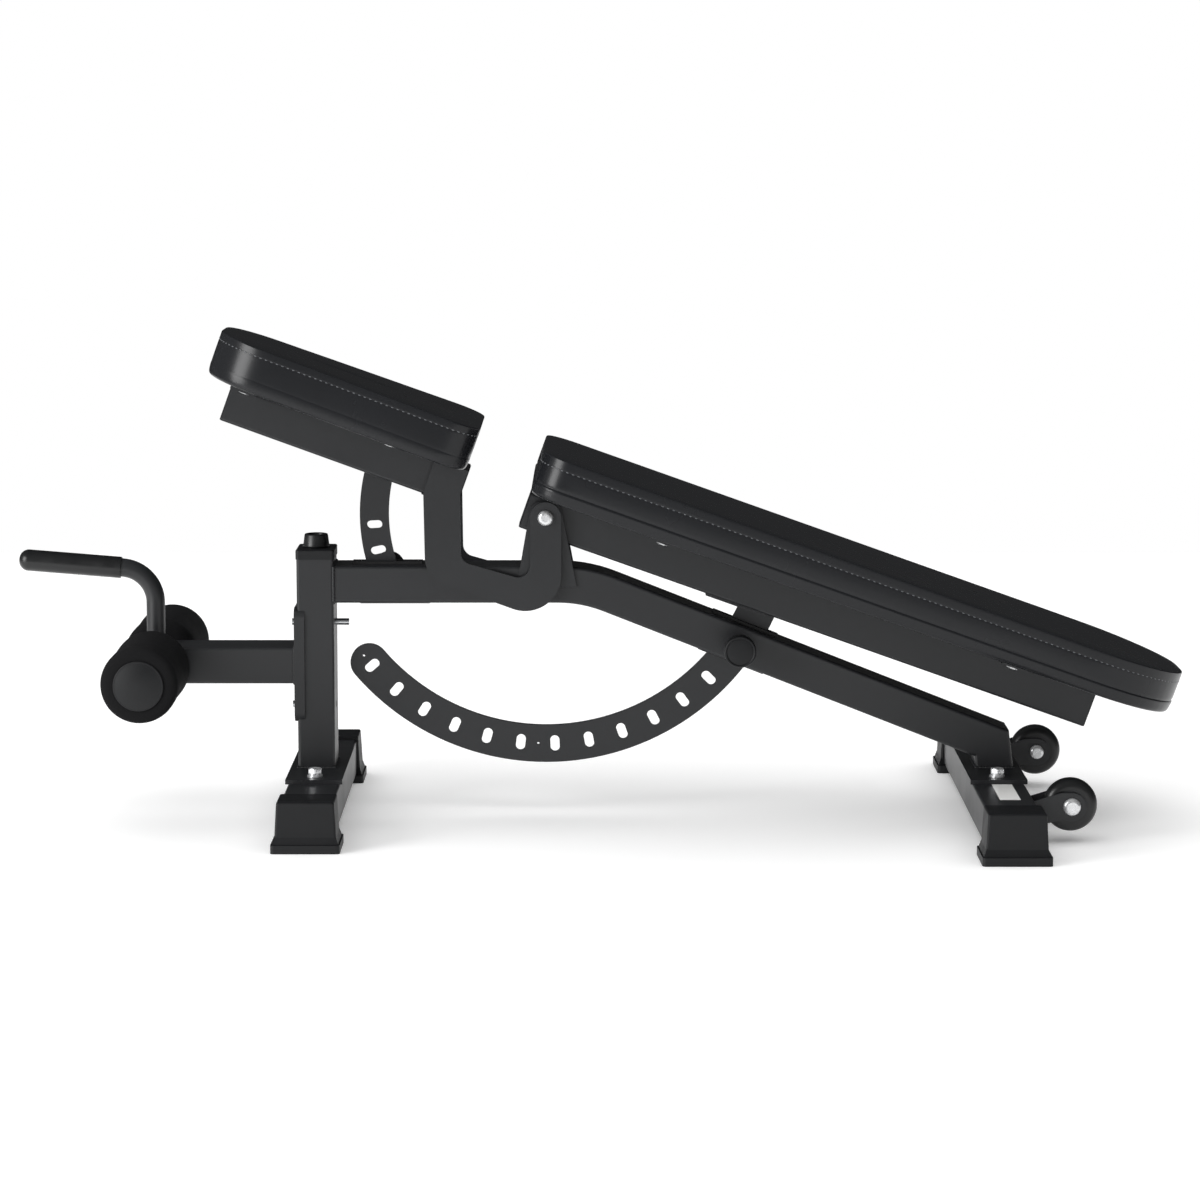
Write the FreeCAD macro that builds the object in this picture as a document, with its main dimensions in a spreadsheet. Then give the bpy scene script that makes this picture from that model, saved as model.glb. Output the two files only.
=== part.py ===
"""Adjustable flat, incline and decline exercise bench with a clip-on leg holder.

Millimetres. +X runs from the leg holder to the head end, +Y to the user's right when seated
facing the leg holder, +Z up. The origin is on the floor under the middle of the bench.
The seat and the backrest are drawn level in their own frames, with the pivot at the origin,
and are then tilted to the decline setting that the bench is shown in.
"""
import FreeCAD, Part
import math
import os
import re
import Sketcher

Vector = FreeCAD.Vector
Rotation = FreeCAD.Rotation
X_AXIS = Vector(1, 0, 0)
Y_AXIS = Vector(0, 1, 0)
Z_AXIS = Vector(0, 0, 1)

DIMENSIONS = [
    # steel tube stock, 70 x 50 x 3
    ("tube_wide", 70), ("tube_deep", 50), ("tube_wall", 3), ("tube_round", 4),
    # front post and its cap
    ("post_x", -383.5), ("post_top", 351), ("cap_top", 364), ("bumper_top", 382.4),
    ("bumper_base_radius", 18), ("bumper_top_radius", 15.5),
    # pivot of the seat and the backrest
    ("pivot_x", -73), ("pivot_z", 408.7), ("pivot_bolt_radius", 6), ("pivot_lobe", 21),
    ("pivot_head_radius", 10.5), ("pivot_head_long", 6.5), ("running_gap", 0.06),
    # main beam: level, then sloping down to the rear leg
    ("beam_z", 317), ("bend_x", -20.4), ("bend_radius", 190), ("beam_slope", 21.5),
    ("mitre_along", 591.9), ("leg_lean", 83),
    # cross feet, boots and base plates
    ("front_foot_x", -381), ("rear_foot_x", 531), ("foot_z", 36),
    ("front_half_span", 287), ("rear_half_span", 364.5),
    ("boot_flange", 11), ("boot_flange_wide", 90), ("boot_flange_long", 82), ("boot_skirt", 9),
    ("boot_base_wide", 80), ("boot_base_long", 66), ("boot_top_wide", 75), ("boot_top_long", 62),
    ("boot_top", 66), ("boot_wall", 4),
    ("plate_wide", 76), ("plate_long", 250), ("plate_thick", 6), ("base_bolt_y", 99),
    # hinge plates on the beam's sides, and the seat's arms outside them
    ("hinge_plate_thick", 4), ("arm_inner_y", 40), ("arm_thick", 6),
    # seat, drawn level with the pivot at the origin
    ("seat_tilt", 20), ("seat_tube_wide", 80), ("frame_low", -26), ("frame_top", 24),
    ("seat_tube_front", -452.5), ("seat_tube_rear", -118.5), ("seat_pad_low", 28),
    ("seat_pad_front", -491), ("seat_pad_rear", -122), ("seat_pad_top", 88),
    ("seat_front_half", 96), ("seat_rear_half", 134), ("seat_front_round", 78), ("seat_rear_round", 40),
    ("pad_edge", 7), ("board_thick", 12), ("board_inset", 14),
    ("seat_bar_front", -434), ("seat_bar_rear", -229), ("bar_wide", 36), ("bar_thick", 4),
    ("seat_bar_long", 164),
    ("seat_bolt_y", 50), ("back_bar_long", 260), ("back_bolt_y", 104),
    # backrest, drawn level with the pivot at the origin
    ("back_tilt", 19.6), ("back_tube_wide", 60), ("back_tube_foot", -28), ("back_tube_head", 780),
    ("back_pad_foot", -33), ("back_pad_head", 880), ("back_pad_low", 33), ("back_pad_top", 91),
    ("back_half", 150),
    ("back_foot_round", 45), ("back_head_round", 128), ("back_bar_foot", 155), ("back_bar_head", 650),
    ("sleeve_radius", 12.5), ("sleeve_half", 34.8),
    # ladders: arc plates about the pivot that the pull pins lock
    ("ladder_thick", 8), ("guide_gap", 0.5), ("guide_lip", 3.5), ("guide_long", 94), ("guide_wide", 24),
    ("guide_open_long", 76), ("guide_wall", 2.5),
    ("seat_ladder_radius", 231.7), ("seat_ladder_wide", 39), ("seat_slot_first", 203.4),
    ("seat_slot_step", 8.7), ("seat_slot_count", 3), ("seat_slot_long", 20.6), ("seat_slot_wide", 11.2),
    ("back_ladder_radius", 314), ("back_ladder_wide", 51), ("back_slot_first", 221.2),
    ("back_slot_step", 8.49), ("back_slot_count", 12), ("back_slot_lock", 326),
    ("back_slot_long", 22.4), ("back_slot_wide", 12.6),
    ("stop_hole_end", 218), ("stop_hole_flat", 268), ("stop_hole_radius", 1.8),
    ("back_ladder_plate_at", 282), ("back_ladder_plate_long", 86), ("back_ladder_plate_thick", 3),
    ("seat_guide_top_x", -287), ("seat_guide_low_x", -277), ("back_guide_along", 223),
    # pull pins
    ("pin_radius", 5.9), ("pin_tip", 4.5), ("pin_collar_radius", 8.5),
    ("pin_collar_long", 2.5), ("pin_stem_radius", 4), ("housing_radius", 14), ("housing_bore", 9),
    ("housing_long", 24.5), ("housing_floor", 2), ("spring_wire", 0.9), ("spring_pitch", 1.1), ("spring_turns", 4),
    ("knob_radius", 21.5), ("knob_long", 27), ("knob_edge", 3),
    # leg holder: bracket, arm, roller tube, rollers and handle
    ("holder_gap", 0.3), ("bracket_thick", 3.5), ("bracket_low", 130), ("bracket_top", 285),
    ("bracket_lip", 10.5), ("arm_z", 207), ("roller_x", -602), ("arm_end", -627),
    ("hitch_z", 262), ("stud_z", 149), ("hitch_radius", 4.5), ("hitch_end", -340), ("stud_end", -396),
    ("roller_tube_radius", 12.5), ("roller_tube_wall", 2), ("foam_radius", 51), ("foam_inner", 47),
    ("foam_outer", 209), ("foam_edge", 9), ("end_cap_radius", 33), ("end_cap_thick", 7),
    ("handle_rise", 332.3), ("handle_bend", 47), ("handle_lift", 4.6), ("grip_start", 46),
    ("grip_radius", 14.5), ("grip_length", 137.9),
    # transport wheels behind the rear foot
    ("wheel_x", 616), ("wheel_z", 50), ("wheel_y", 203), ("tyre_radius", 35), ("tyre_half", 14),
    ("hub_radius", 21), ("hub_half", 15), ("fork_gap", 17), ("fork_thick", 4), ("axle_radius", 5),
    # blank label on the rear foot
    ("label_x", 534.5), ("label_wide", 27), ("label_near", 233), ("label_far", 126), ("label_thick", 0.3),
    # hexagon hardware
    ("m10_flats", 17), ("m10_head", 7), ("m8_flats", 13), ("m8_head", 3.8),
]

doc = FreeCAD.newDocument("bench")
sheet = doc.addObject("Spreadsheet::Sheet", "Sizes")
for row, (alias, number) in enumerate(DIMENSIONS, start=1):
    sheet.set("A%d" % row, alias.replace("_", " "))
    sheet.set("B%d" % row, str(number))
    sheet.setAlias("B%d" % row, alias)
doc.recompute()
ALIASES = {alias for alias, number in DIMENSIONS}
pieces = []


def size(alias):
    """A driving dimension's number, for the few shapes that are worked out in code."""
    return float(sheet.get(alias))


def formula(text):
    """Spell a sum of dimension names as an expression on the sheet."""
    return re.sub(r"[a-z_0-9]+", lambda word: "Sizes." + word[0] if word[0] in ALIASES else word[0], str(text))


def bind(item, **sums):
    """Bind properties to sums of dimensions; a double underscore stands for a dot."""
    for name, text in sums.items():
        item.setExpression(name.replace("__", "."), formula(text))


def keep(item, label):
    item.Label = label
    pieces.append(item)
    return item


def new_body(label):
    return keep(doc.addObject("PartDesign::Body", label), label)


def sketch_on(body, plane, lift="0"):
    """A sketch on one of the body's own planes, lifted along the plane's normal."""
    sketch = body.newObject("Sketcher::SketchObject", body.Name + "_sketch")
    base = next(item for item in body.Origin.OriginFeatures if item.Role == plane + "_Plane")
    sketch.AttachmentSupport = [(base, "")]
    sketch.MapMode = "FlatFace"
    bind(sketch, AttachmentOffset__Base__z=lift)
    return sketch


def fix_point(sketch, geometry, point, x, y):
    """Hold a point of the sketch at two sums of dimensions."""
    spot = sketch.getPoint(geometry, point)
    for kind, text, now in (("DistanceX", x, spot.x), ("DistanceY", y, spot.y)):
        number = sketch.addConstraint(Sketcher.Constraint(kind, -1, 1, geometry, point, now))
        sketch.setExpression("Constraints[%d]" % number, formula(text))


def draw_outline(sketch, corners):
    """A closed outline of straight lines through corners given as (x, y) sums."""
    first = sketch.GeometryCount
    count = len(corners)
    turn = 2 * math.pi / count
    ring = [Vector(math.cos(turn * at), math.sin(turn * at), 0) for at in range(count)]
    for at in range(count):
        sketch.addGeometry(Part.LineSegment(ring[at], ring[(at + 1) % count]))
    for at in range(count):
        sketch.addConstraint(Sketcher.Constraint("Coincident", first + at, 2, first + (at + 1) % count, 1))
    for at, corner in enumerate(corners):
        fix_point(sketch, first + at, 1, corner[0], corner[1])


def draw_box(sketch, x_low, x_high, y_low, y_high):
    draw_outline(sketch, [(x_low, y_low), (x_high, y_low), (x_high, y_high), (x_low, y_high)])


def draw_circle(sketch, x, y, radius):
    circle = sketch.addGeometry(Part.Circle(Vector(0, 0, 0), Z_AXIS, 1.0))
    fix_point(sketch, circle, 3, x, y)
    number = sketch.addConstraint(Sketcher.Constraint("Radius", circle, 1.0))
    sketch.setExpression("Constraints[%d]" % number, formula(radius))


def pad(body, sketch, length, midplane=True, reverse=False):
    feature = body.newObject("PartDesign::Pad", body.Name + "_pad")
    feature.Profile = sketch
    feature.Midplane = midplane
    feature.Reversed = reverse
    bind(feature, Length=length)
    doc.recompute()
    return feature


def pocket(body, sketch, length, midplane=True, reverse=False):
    """Cut the sketch out, and stop if it took nothing away."""
    before = body.Shape.Volume
    feature = body.newObject("PartDesign::Pocket", body.Name + "_pocket")
    feature.Profile = sketch
    feature.Midplane = midplane
    feature.Reversed = reverse
    bind(feature, Length=length)
    doc.recompute()
    if body.Shape.Volume > before - 1:
        raise RuntimeError(body.Label + ": a pocket cuts nothing")
    return feature


def revolve(body, sketch, angle="360", reverse=False):
    feature = body.newObject("PartDesign::Revolution", body.Name + "_turn")
    feature.Profile = sketch
    feature.ReferenceAxis = (sketch, ["V_Axis"])
    feature.Reversed = reverse
    bind(feature, Angle=angle)
    doc.recompute()
    return feature


def round_edges(body, radius, wanted):
    """Fillet the straight or curved edges of the tip for which wanted(edge) is true."""
    tip = body.Tip
    names = ["Edge%d" % (at + 1) for at, edge in enumerate(tip.Shape.Edges) if wanted(edge)]
    if not names:
        raise RuntimeError(body.Label + ": no edge to round")
    feature = body.newObject("PartDesign::Fillet", body.Name + "_round")
    feature.Base = (tip, names)
    bind(feature, Radius=radius)
    doc.recompute()
    return feature


def along(axis):
    """True for straight edges that run along an axis."""
    def wanted(edge):
        if edge.Curve.TypeId != "Part::GeomLine":
            return False
        return abs(edge.tangentAt(edge.FirstParameter).dot(axis)) > 0.9999
    return wanted


def standing_at(sketch, corners):
    """True for edges square to the sketch that stand on the given corners of its outline."""
    spots = [sketch.Placement.multVec(sketch.getPoint(corner, 1)) for corner in corners]
    normal = sketch.Placement.Rotation.multVec(Z_AXIS)

    def wanted(edge):
        if not along(normal)(edge):
            return False
        foot = edge.Vertexes[0].Point
        return any((foot - spot).cross(normal).Length < 0.01 for spot in spots)
    return wanted


def at_height(height):
    """True for edges that lie level at a height."""
    def wanted(edge):
        box = edge.BoundBox
        return abs(box.ZMin - height) < 0.01 and abs(box.ZMax - height) < 0.01
    return wanted


def place(item, x="0", y="0", z="0", axis=Z_AXIS, angle="0"):
    item.Placement = FreeCAD.Placement(Vector(0, 0, 0), Rotation(axis, 1))
    bind(item, Placement__Base__x=x, Placement__Base__y=y, Placement__Base__z=z,
         Placement__Rotation__Angle=angle)
    return item


def tilt(item, angle):
    """Carry a piece that is drawn level, with the pivot at the origin, to its place."""
    return place(item, "pivot_x", "0", "pivot_z", Y_AXIS, angle)


def plate(label, corners, thickness, rounds=(), holes=()):
    """A flat plate in the X-Z plane, centred on Y = 0.

    rounds holds (radius, corner numbers) and holes holds (x, z, radius).
    """
    body = new_body(label)
    sketch = sketch_on(body, "XZ")
    draw_outline(sketch, corners)
    pad(body, sketch, thickness)
    for radius, numbers in rounds:
        round_edges(body, radius, standing_at(sketch, numbers))
    if holes:
        drill(body, holes, thickness)
    return body


def drill(body, holes, depth, plane="XZ"):
    sketch = sketch_on(body, plane)
    for x, y, radius in holes:
        draw_circle(sketch, x, y, radius)
    return pocket(body, sketch, depth + " + 2")


def tube(label, plane, wide, deep, low, high, round_off="tube_round"):
    """A straight length of rectangular tube from low to high along the plane's normal."""
    body = new_body(label)
    outer = sketch_on(body, plane, low)
    draw_box(outer, "-(%s) / 2" % wide, "(%s) / 2" % wide, "-(%s) / 2" % deep, "(%s) / 2" % deep)
    long = "(%s) - (%s)" % (high, low)
    pad(body, outer, long, midplane=False)
    round_edges(body, round_off, standing_at(outer, range(4)))
    inner = sketch_on(body, plane, low)
    draw_box(inner, "-(%s) / 2 + tube_wall" % wide, "(%s) / 2 - tube_wall" % wide,
             "-(%s) / 2 + tube_wall" % deep, "(%s) / 2 - tube_wall" % deep)
    pocket(body, inner, long, midplane=False, reverse=True)
    return body


def turned(label, profile, round_off=None):
    """A turned piece about its own Z; profile holds (radius, height) sums."""
    body = new_body(label)
    sketch = sketch_on(body, "XZ")
    draw_outline(sketch, profile)
    revolve(body, sketch)
    if round_off:
        radius, heights = round_off
        for height in heights:
            level = at_height(height)
            widest = max(edge.BoundBox.XMax for edge in body.Tip.Shape.Edges if level(edge))
            round_edges(body, radius, lambda edge: level(edge) and edge.BoundBox.XMax > widest - 0.01)
    return body


def facing(item, side, x, z, y="0"):
    """Turn a piece so that its own Z points out to a side: -1 is left (-Y), 1 is right (+Y)."""
    return place(item, x, y, z, X_AXIS, "90" if side < 0 else "-90")


def group(label, items):
    """Separate solids that share one node."""
    compound = doc.addObject("Part::Compound", label)
    compound.Links = items
    for item in items:
        if item in pieces:
            pieces.remove(item)
    return keep(compound, label)


def rod(radius, length, low="0"):
    """A plain cylinder along Z, from low."""
    item = doc.addObject("Part::Cylinder", "rod")
    bind(item, Radius=radius, Height=length, Placement__Base__z=low)
    return item


def block(x_low, x_high, y_low, y_high, z_low, z_high):
    item = doc.addObject("Part::Box", "block")
    bind(item, Length="(%s) - (%s)" % (x_high, x_low), Width="(%s) - (%s)" % (y_high, y_low),
         Height="(%s) - (%s)" % (z_high, z_low))
    bind(item, Placement__Base__x=x_low, Placement__Base__y=y_low, Placement__Base__z=z_low)
    return item


def join(first, second):
    item = doc.addObject("Part::Fuse", "join")
    item.Base = first
    item.Tool = second
    return item


def take(first, second):
    item = doc.addObject("Part::Cut", "take")
    item.Base = first
    item.Tool = second
    return item


def hexagon(flats, height, low="0"):
    item = doc.addObject("Part::Prism", "hexagon")
    item.Polygon = 6
    bind(item, Circumradius="(%s) / 2 / cos(30)" % flats, Height=height, Placement__Base__z=low)
    return item


def hex_bolt(flats, head, radius, length):
    """Head upwards from Z = 0, shank downwards."""
    return join(hexagon(flats, head), rod(radius, "(%s) + 1" % length, "-(%s)" % length))


# ---------------------------------------------------------------- frame

def cross_foot(end, x, half_span):
    """One cross foot with its base plate; returns the two boots for its ends."""
    tube_half = "%s - (boot_flange_long - boot_base_long) / 2 - boot_wall" % half_span
    foot = tube(end + "_foot", "XZ", "tube_wide", "tube_deep", "-(%s)" % tube_half, tube_half)
    place(foot, x, "0", "foot_z")
    boots = []
    for side in (-1, 1):
        boots.append(foot_boot(side, x, half_span, tube_half))
    base = new_body(end + "_base_plate")
    sketch = sketch_on(base, "XY")
    draw_box(sketch, "-plate_wide / 2", "plate_wide / 2", "-plate_long / 2", "plate_long / 2")
    pad(base, sketch, "plate_thick", midplane=False)
    holes = sketch_on(base, "XY")
    for sign in ("-", ""):
        draw_circle(holes, "0", sign + "base_bolt_y", "5.2")
    pocket(base, holes, "plate_thick * 3")
    place(base, x, "0", "foot_z + tube_deep / 2")
    bolt_holes = sketch_on(foot, "XY")
    for sign in ("-", ""):
        draw_circle(bolt_holes, "0", sign + "base_bolt_y", "5.2")
    pocket(foot, bolt_holes, "tube_deep", midplane=False, reverse=True)
    return boots


def foot_boot(side, x, half_span, tube_half):
    """A moulded boot: flange, flared skirt and a slightly tapered box that the tube fits into."""
    body = new_body("boot")
    flange = sketch_on(body, "XY")
    draw_box(flange, "-boot_flange_wide / 2", "boot_flange_wide / 2",
             "-boot_flange_long / 2", "boot_flange_long / 2")
    pad(body, flange, "boot_flange", midplane=False)
    round_edges(body, "5", standing_at(flange, range(4)))
    levels = [("boot_flange", "boot_base_wide + 6", "boot_base_long + 6"),
              ("boot_flange + boot_skirt", "boot_base_wide", "boot_base_long"),
              ("boot_top", "boot_top_wide", "boot_top_long")]
    for low, high in zip(levels, levels[1:]):
        sections = []
        for height, wide, long in (low, high):
            section = sketch_on(body, "XY", height)
            draw_box(section, "-(%s) / 2" % wide, "(%s) / 2" % wide, "-(%s) / 2" % long, "(%s) / 2" % long)
            sections.append(section)
        loft = body.newObject("PartDesign::AdditiveLoft", "boot_loft")
        loft.Profile = sections[0]
        loft.Sections = [sections[1]]
        loft.Ruled = True
        doc.recompute()
    corners = body.Tip.Shape.BoundBox.ZMax
    round_edges(body, "3", lambda edge: edge.BoundBox.ZMax > corners - 0.01
                and edge.BoundBox.ZMin > size("boot_flange") + size("boot_skirt") - 0.01)
    socket = sketch_on(body, "XZ", "-(%s) * boot_flange_long / 2" % (1 if side < 0 else -1))
    draw_box(socket, "-tube_wide / 2", "tube_wide / 2", "boot_flange", "boot_flange + tube_deep")
    depth = "boot_flange_long / 2 + boot_base_long / 2 - boot_wall"
    pocket(body, socket, depth, midplane=False, reverse=side < 0)
    sign = "-" if side < 0 else ""
    return place(body, x, "%s(%s - boot_flange_long / 2)" % (sign, half_span), "0")


def base_fasteners():
    """M10 bolts with flat and split washers, in weld nuts under the foot tubes' top walls."""
    bolts, washers, nuts = [], [], []
    plate_top = "foot_z + tube_deep / 2 + plate_thick"
    for x in ("front_foot_x", "rear_foot_x"):
        for sign in ("-", ""):
            y = sign + "base_bolt_y"
            bolts.append(place(hex_bolt("m10_flats", "m10_head", "5", "26"), x, y, plate_top + " + 4.5"))
            flat = take(rod("10.5", "2"), rod("5.2", "4", "-1"))
            washers.append(place(flat, x, y, plate_top))
            split = take(rod("8.8", "2.5"), rod("5.2", "5", "-1"))
            washers.append(place(split, x, y, plate_top + " + 2"))
            nut = take(hexagon("m10_flats", "8"), rod("5", "10", "-1"))
            nuts.append(place(nut, x, y, "foot_z + tube_deep / 2 - tube_wall - 8"))
    group("base_bolts", bolts)
    group("base_washers", washers)
    group("base_weld_nuts", nuts)


def front_post():
    """Upright tube, welded on the front base plate, with two hitch holes for the leg holder."""
    foot = "foot_z + tube_deep / 2 + plate_thick"
    post = tube("front_post", "XY", "tube_deep", "tube_wide", foot, "post_top")
    hitch = [("0", "hitch_z", "hitch_radius + 0.1"), ("0", "stud_z", "hitch_radius + 0.1")]
    drill(post, hitch, "tube_deep", "YZ")
    place(post, "post_x")
    cap = new_body("post_cap")
    rim = sketch_on(cap, "XY", "post_top")
    draw_box(rim, "-tube_deep / 2 - 1", "tube_deep / 2 + 1", "-tube_wide / 2 - 1", "tube_wide / 2 + 1")
    pad(cap, rim, "cap_top - post_top", midplane=False)
    round_edges(cap, "4.5", standing_at(rim, range(4)))
    round_edges(cap, "2", at_height(size("cap_top")))
    plug = sketch_on(cap, "XY", "post_top")
    draw_box(plug, "-tube_deep / 2 + tube_wall", "tube_deep / 2 - tube_wall",
             "-tube_wide / 2 + tube_wall", "tube_wide / 2 - tube_wall")
    pad(cap, plug, "16", midplane=False, reverse=True)
    place(cap, "post_x")
    profile = [("0", "cap_top"), ("bumper_base_radius", "cap_top"), ("bumper_base_radius", "cap_top + 4"),
               ("bumper_top_radius", "bumper_top"), ("0", "bumper_top")]
    bumper = turned("seat_bumper", profile, ("3", [size("bumper_top")]))
    place(bumper, "post_x")


def on_slope(distance, offset):
    """Point on the sloping part of the beam, from the bend along and square to its centre line."""
    x = "bend_x - post_x - tube_deep / 2 + (%s) * cos(beam_slope) + (%s) * sin(beam_slope)" % (distance, offset)
    z = "-(%s) * sin(beam_slope) + (%s) * cos(beam_slope)" % (distance, offset)
    return x, z


def main_beam():
    """Tube bent once, from the post to the mitre with the rear leg; its own X = 0 is the post's face."""
    beam = new_body("main_beam")
    route = sketch_on(beam, "XZ")
    reach = size("bend_x") - size("post_x") - size("tube_deep") / 2
    slope = math.radians(size("beam_slope"))
    bend = size("bend_radius")
    back_off = bend * math.tan(slope / 2)
    start = Vector(reach - back_off, 0, 0)
    middle = Vector(reach - back_off, -bend, 0)
    finish = Vector(reach + back_off * math.cos(slope), -back_off * math.sin(slope), 0)
    far = size("mitre_along") + size("tube_deep")
    tail = Vector(reach + far * math.cos(slope), -far * math.sin(slope), 0)
    route.addGeometry(Part.LineSegment(Vector(0, 0, 0), start))
    route.addGeometry(Part.ArcOfCircle(Part.Circle(middle, Z_AXIS, bend), math.pi / 2 - slope, math.pi / 2))
    route.addGeometry(Part.LineSegment(finish, tail))
    route.addConstraint(Sketcher.Constraint("Coincident", 0, 1, -1, 1))
    route.addConstraint(Sketcher.Constraint("Horizontal", 0))
    route.addConstraint(Sketcher.Constraint("Tangent", 0, 2, 1, 2))
    route.addConstraint(Sketcher.Constraint("Tangent", 1, 1, 2, 1))
    number = route.addConstraint(Sketcher.Constraint("Radius", 1, bend))
    route.setExpression("Constraints[%d]" % number, formula("bend_radius"))
    bend_start = "bend_x - post_x - tube_deep / 2 - bend_radius * tan(beam_slope / 2)"
    number = route.addConstraint(Sketcher.Constraint("DistanceX", -1, 1, 0, 2, start.x))
    route.setExpression("Constraints[%d]" % number, formula(bend_start))
    end_x, end_z = on_slope("mitre_along + tube_deep", "0")
    fix_point(route, 2, 2, end_x, end_z)
    skin = sketch_on(beam, "YZ")
    draw_box(skin, "-tube_wide / 2", "tube_wide / 2", "-tube_deep / 2", "tube_deep / 2")
    core = sketch_on(beam, "YZ")
    draw_box(core, "-tube_wide / 2 + tube_wall", "tube_wide / 2 - tube_wall",
             "-tube_deep / 2 + tube_wall", "tube_deep / 2 - tube_wall")
    for kind, profile in (("PartDesign::AdditivePipe", skin), ("PartDesign::SubtractivePipe", core)):
        pipe = beam.newObject(kind, "beam_pipe")
        pipe.Profile = profile
        pipe.Spine = (route, [])
        doc.recompute()
        if kind.endswith("AdditivePipe"):
            outer_y = size("tube_wide") / 2
            round_edges(beam, "tube_round", lambda edge: abs(edge.BoundBox.YLength) < 0.01
                        and abs(abs(edge.BoundBox.YMax) - outer_y) < 0.01 and edge.Length > 60)
    mitre_cut(beam)
    beam_slots(beam)
    return place(beam, "post_x + tube_deep / 2", "0", "beam_z")


def mitre_cut(beam):
    """Cut the beam's lower end on the line that halves the angle to the rear leg."""
    half_turn = "(leg_lean - beam_slope) / 2"
    cut = sketch_on(beam, "XZ")
    corners = []
    for distance, offset in ((-60, 0), (60, 0), (60, 120), (-60, 120)):
        x = "mitre_along + (%d) * sin(%s) + (%d) * cos(%s)" % (distance, half_turn, offset, half_turn)
        z = "(%d) * cos(%s) - (%d) * sin(%s)" % (distance, half_turn, offset, half_turn)
        corners.append(on_slope(x, z))
    draw_outline(cut, corners)
    pocket(beam, cut, "tube_wide * 2")


def beam_slots(beam):
    """Slots that the ladders pass through, and the pull pins' holes in one side wall each."""
    for middle, low, high in (("seat_guide_top_x", "0", "tube_deep"), ("seat_guide_low_x", "-tube_deep", "0")):
        slot = sketch_on(beam, "XZ")
        centre = middle + " - post_x - tube_deep / 2"
        half = "guide_open_long / 2 + guide_wall"
        draw_box(slot, "%s - (%s)" % (centre, half), "%s + %s" % (centre, half), low, high)
        pocket(beam, slot, "ladder_thick + 2 * guide_gap + 2 * guide_wall")
    slope_slot = sketch_on(beam, "XZ")
    half = "(guide_open_long / 2 + guide_wall)"
    ends = (("back_guide_along - " + half, "-tube_deep"), ("back_guide_along + " + half, "-tube_deep"),
            ("back_guide_along + " + half, "tube_deep"), ("back_guide_along - " + half, "tube_deep"))
    draw_outline(slope_slot, [on_slope(*end) for end in ends])
    pocket(beam, slope_slot, "ladder_thick + 2 * guide_gap + 2 * guide_wall")
    for side, (x, z) in ((-1, pin_place("back")), (1, pin_place("seat"))):
        hole = sketch_on(beam, "XZ", "-(%d) * tube_wide / 2 - %d" % (side, side))
        draw_circle(hole, x + " - post_x - tube_deep / 2", z + " - beam_z", "pin_radius + running_gap")
        pocket(beam, hole, "tube_wall + 2", midplane=False, reverse=side > 0)


def pin_place(which):
    """Where a pull pin stands: at its ladder's radius, on the locking slot's direction."""
    if which == "back":
        angle = "back_slot_lock"
    else:
        angle = "(seat_slot_first + (seat_slot_count - 1) * seat_slot_step - seat_tilt)"
    radius = which + "_ladder_radius"
    return "pivot_x + %s * cos(%s)" % (radius, angle), "pivot_z + %s * sin(%s)" % (radius, angle)


def rear_leg():
    """Short leg from the mitre down to the rear base plate, leaning outwards."""
    half_turn = "(leg_lean - beam_slope) / 2"
    x_mid, z_mid = on_slope("mitre_along", "0")
    shift = " + post_x + tube_deep / 2"
    foot = "foot_z + tube_deep / 2 + plate_thick"
    leg = new_body("rear_leg")
    for index, inset in enumerate(("0", "tube_wall")):
        half = "(tube_deep / 2 - %s) / cos(%s)" % (inset, half_turn)
        run = "(%s + beam_z - (%s)) / tan(leg_lean)" % (z_mid, foot)
        foot_half = "(tube_deep / 2 - %s) / sin(leg_lean)" % inset
        tilt_angle = "(beam_slope + %s)" % half_turn
        corners = [("%s + %s * sin(%s)%s" % (x_mid, half, tilt_angle, shift),
                    "%s + beam_z + %s * cos(%s)" % (z_mid, half, tilt_angle)),
                   ("%s - %s * sin(%s)%s" % (x_mid, half, tilt_angle, shift),
                    "%s + beam_z - %s * cos(%s)" % (z_mid, half, tilt_angle)),
                   ("%s + %s - %s%s" % (x_mid, run, foot_half, shift), foot),
                   ("%s + %s + %s%s" % (x_mid, run, foot_half, shift), foot)]
        sketch = sketch_on(leg, "XZ")
        draw_outline(sketch, corners)
        if index == 0:
            pad(leg, sketch, "tube_wide")
            outer_y = size("tube_wide") / 2
            round_edges(leg, "tube_round", lambda edge: abs(abs(edge.BoundBox.YMax) - outer_y) < 0.01
                        and edge.BoundBox.YLength < 0.01 and steep(edge))
        else:
            pocket(leg, sketch, "tube_wide - 2 * tube_wall")
    return leg


def steep(edge):
    """True for an edge that runs the way the rear leg leans."""
    lean = math.radians(size("leg_lean"))
    direction = Vector(math.cos(lean), 0, -math.sin(lean))
    return abs(edge.tangentAt(edge.FirstParameter).dot(direction)) > 0.999


def hinge_plates():
    """Tapered plates on both sides of the beam that carry the pivot bolt."""
    both = []
    for side in ("-", ""):
        corners = [("-39", "-93.5"), ("41.5", "-93.5"), ("19", "pivot_lobe"), ("-19", "pivot_lobe")]
        item = plate("hinge_plate", corners, "hinge_plate_thick", [("16", (2, 3))],
                     [("0", "0", "pivot_bolt_radius + 0.1")])
        both.append(place(item, "pivot_x", side + "(tube_wide + hinge_plate_thick) / 2", "pivot_z"))
    group("hinge_plates", both)


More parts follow.
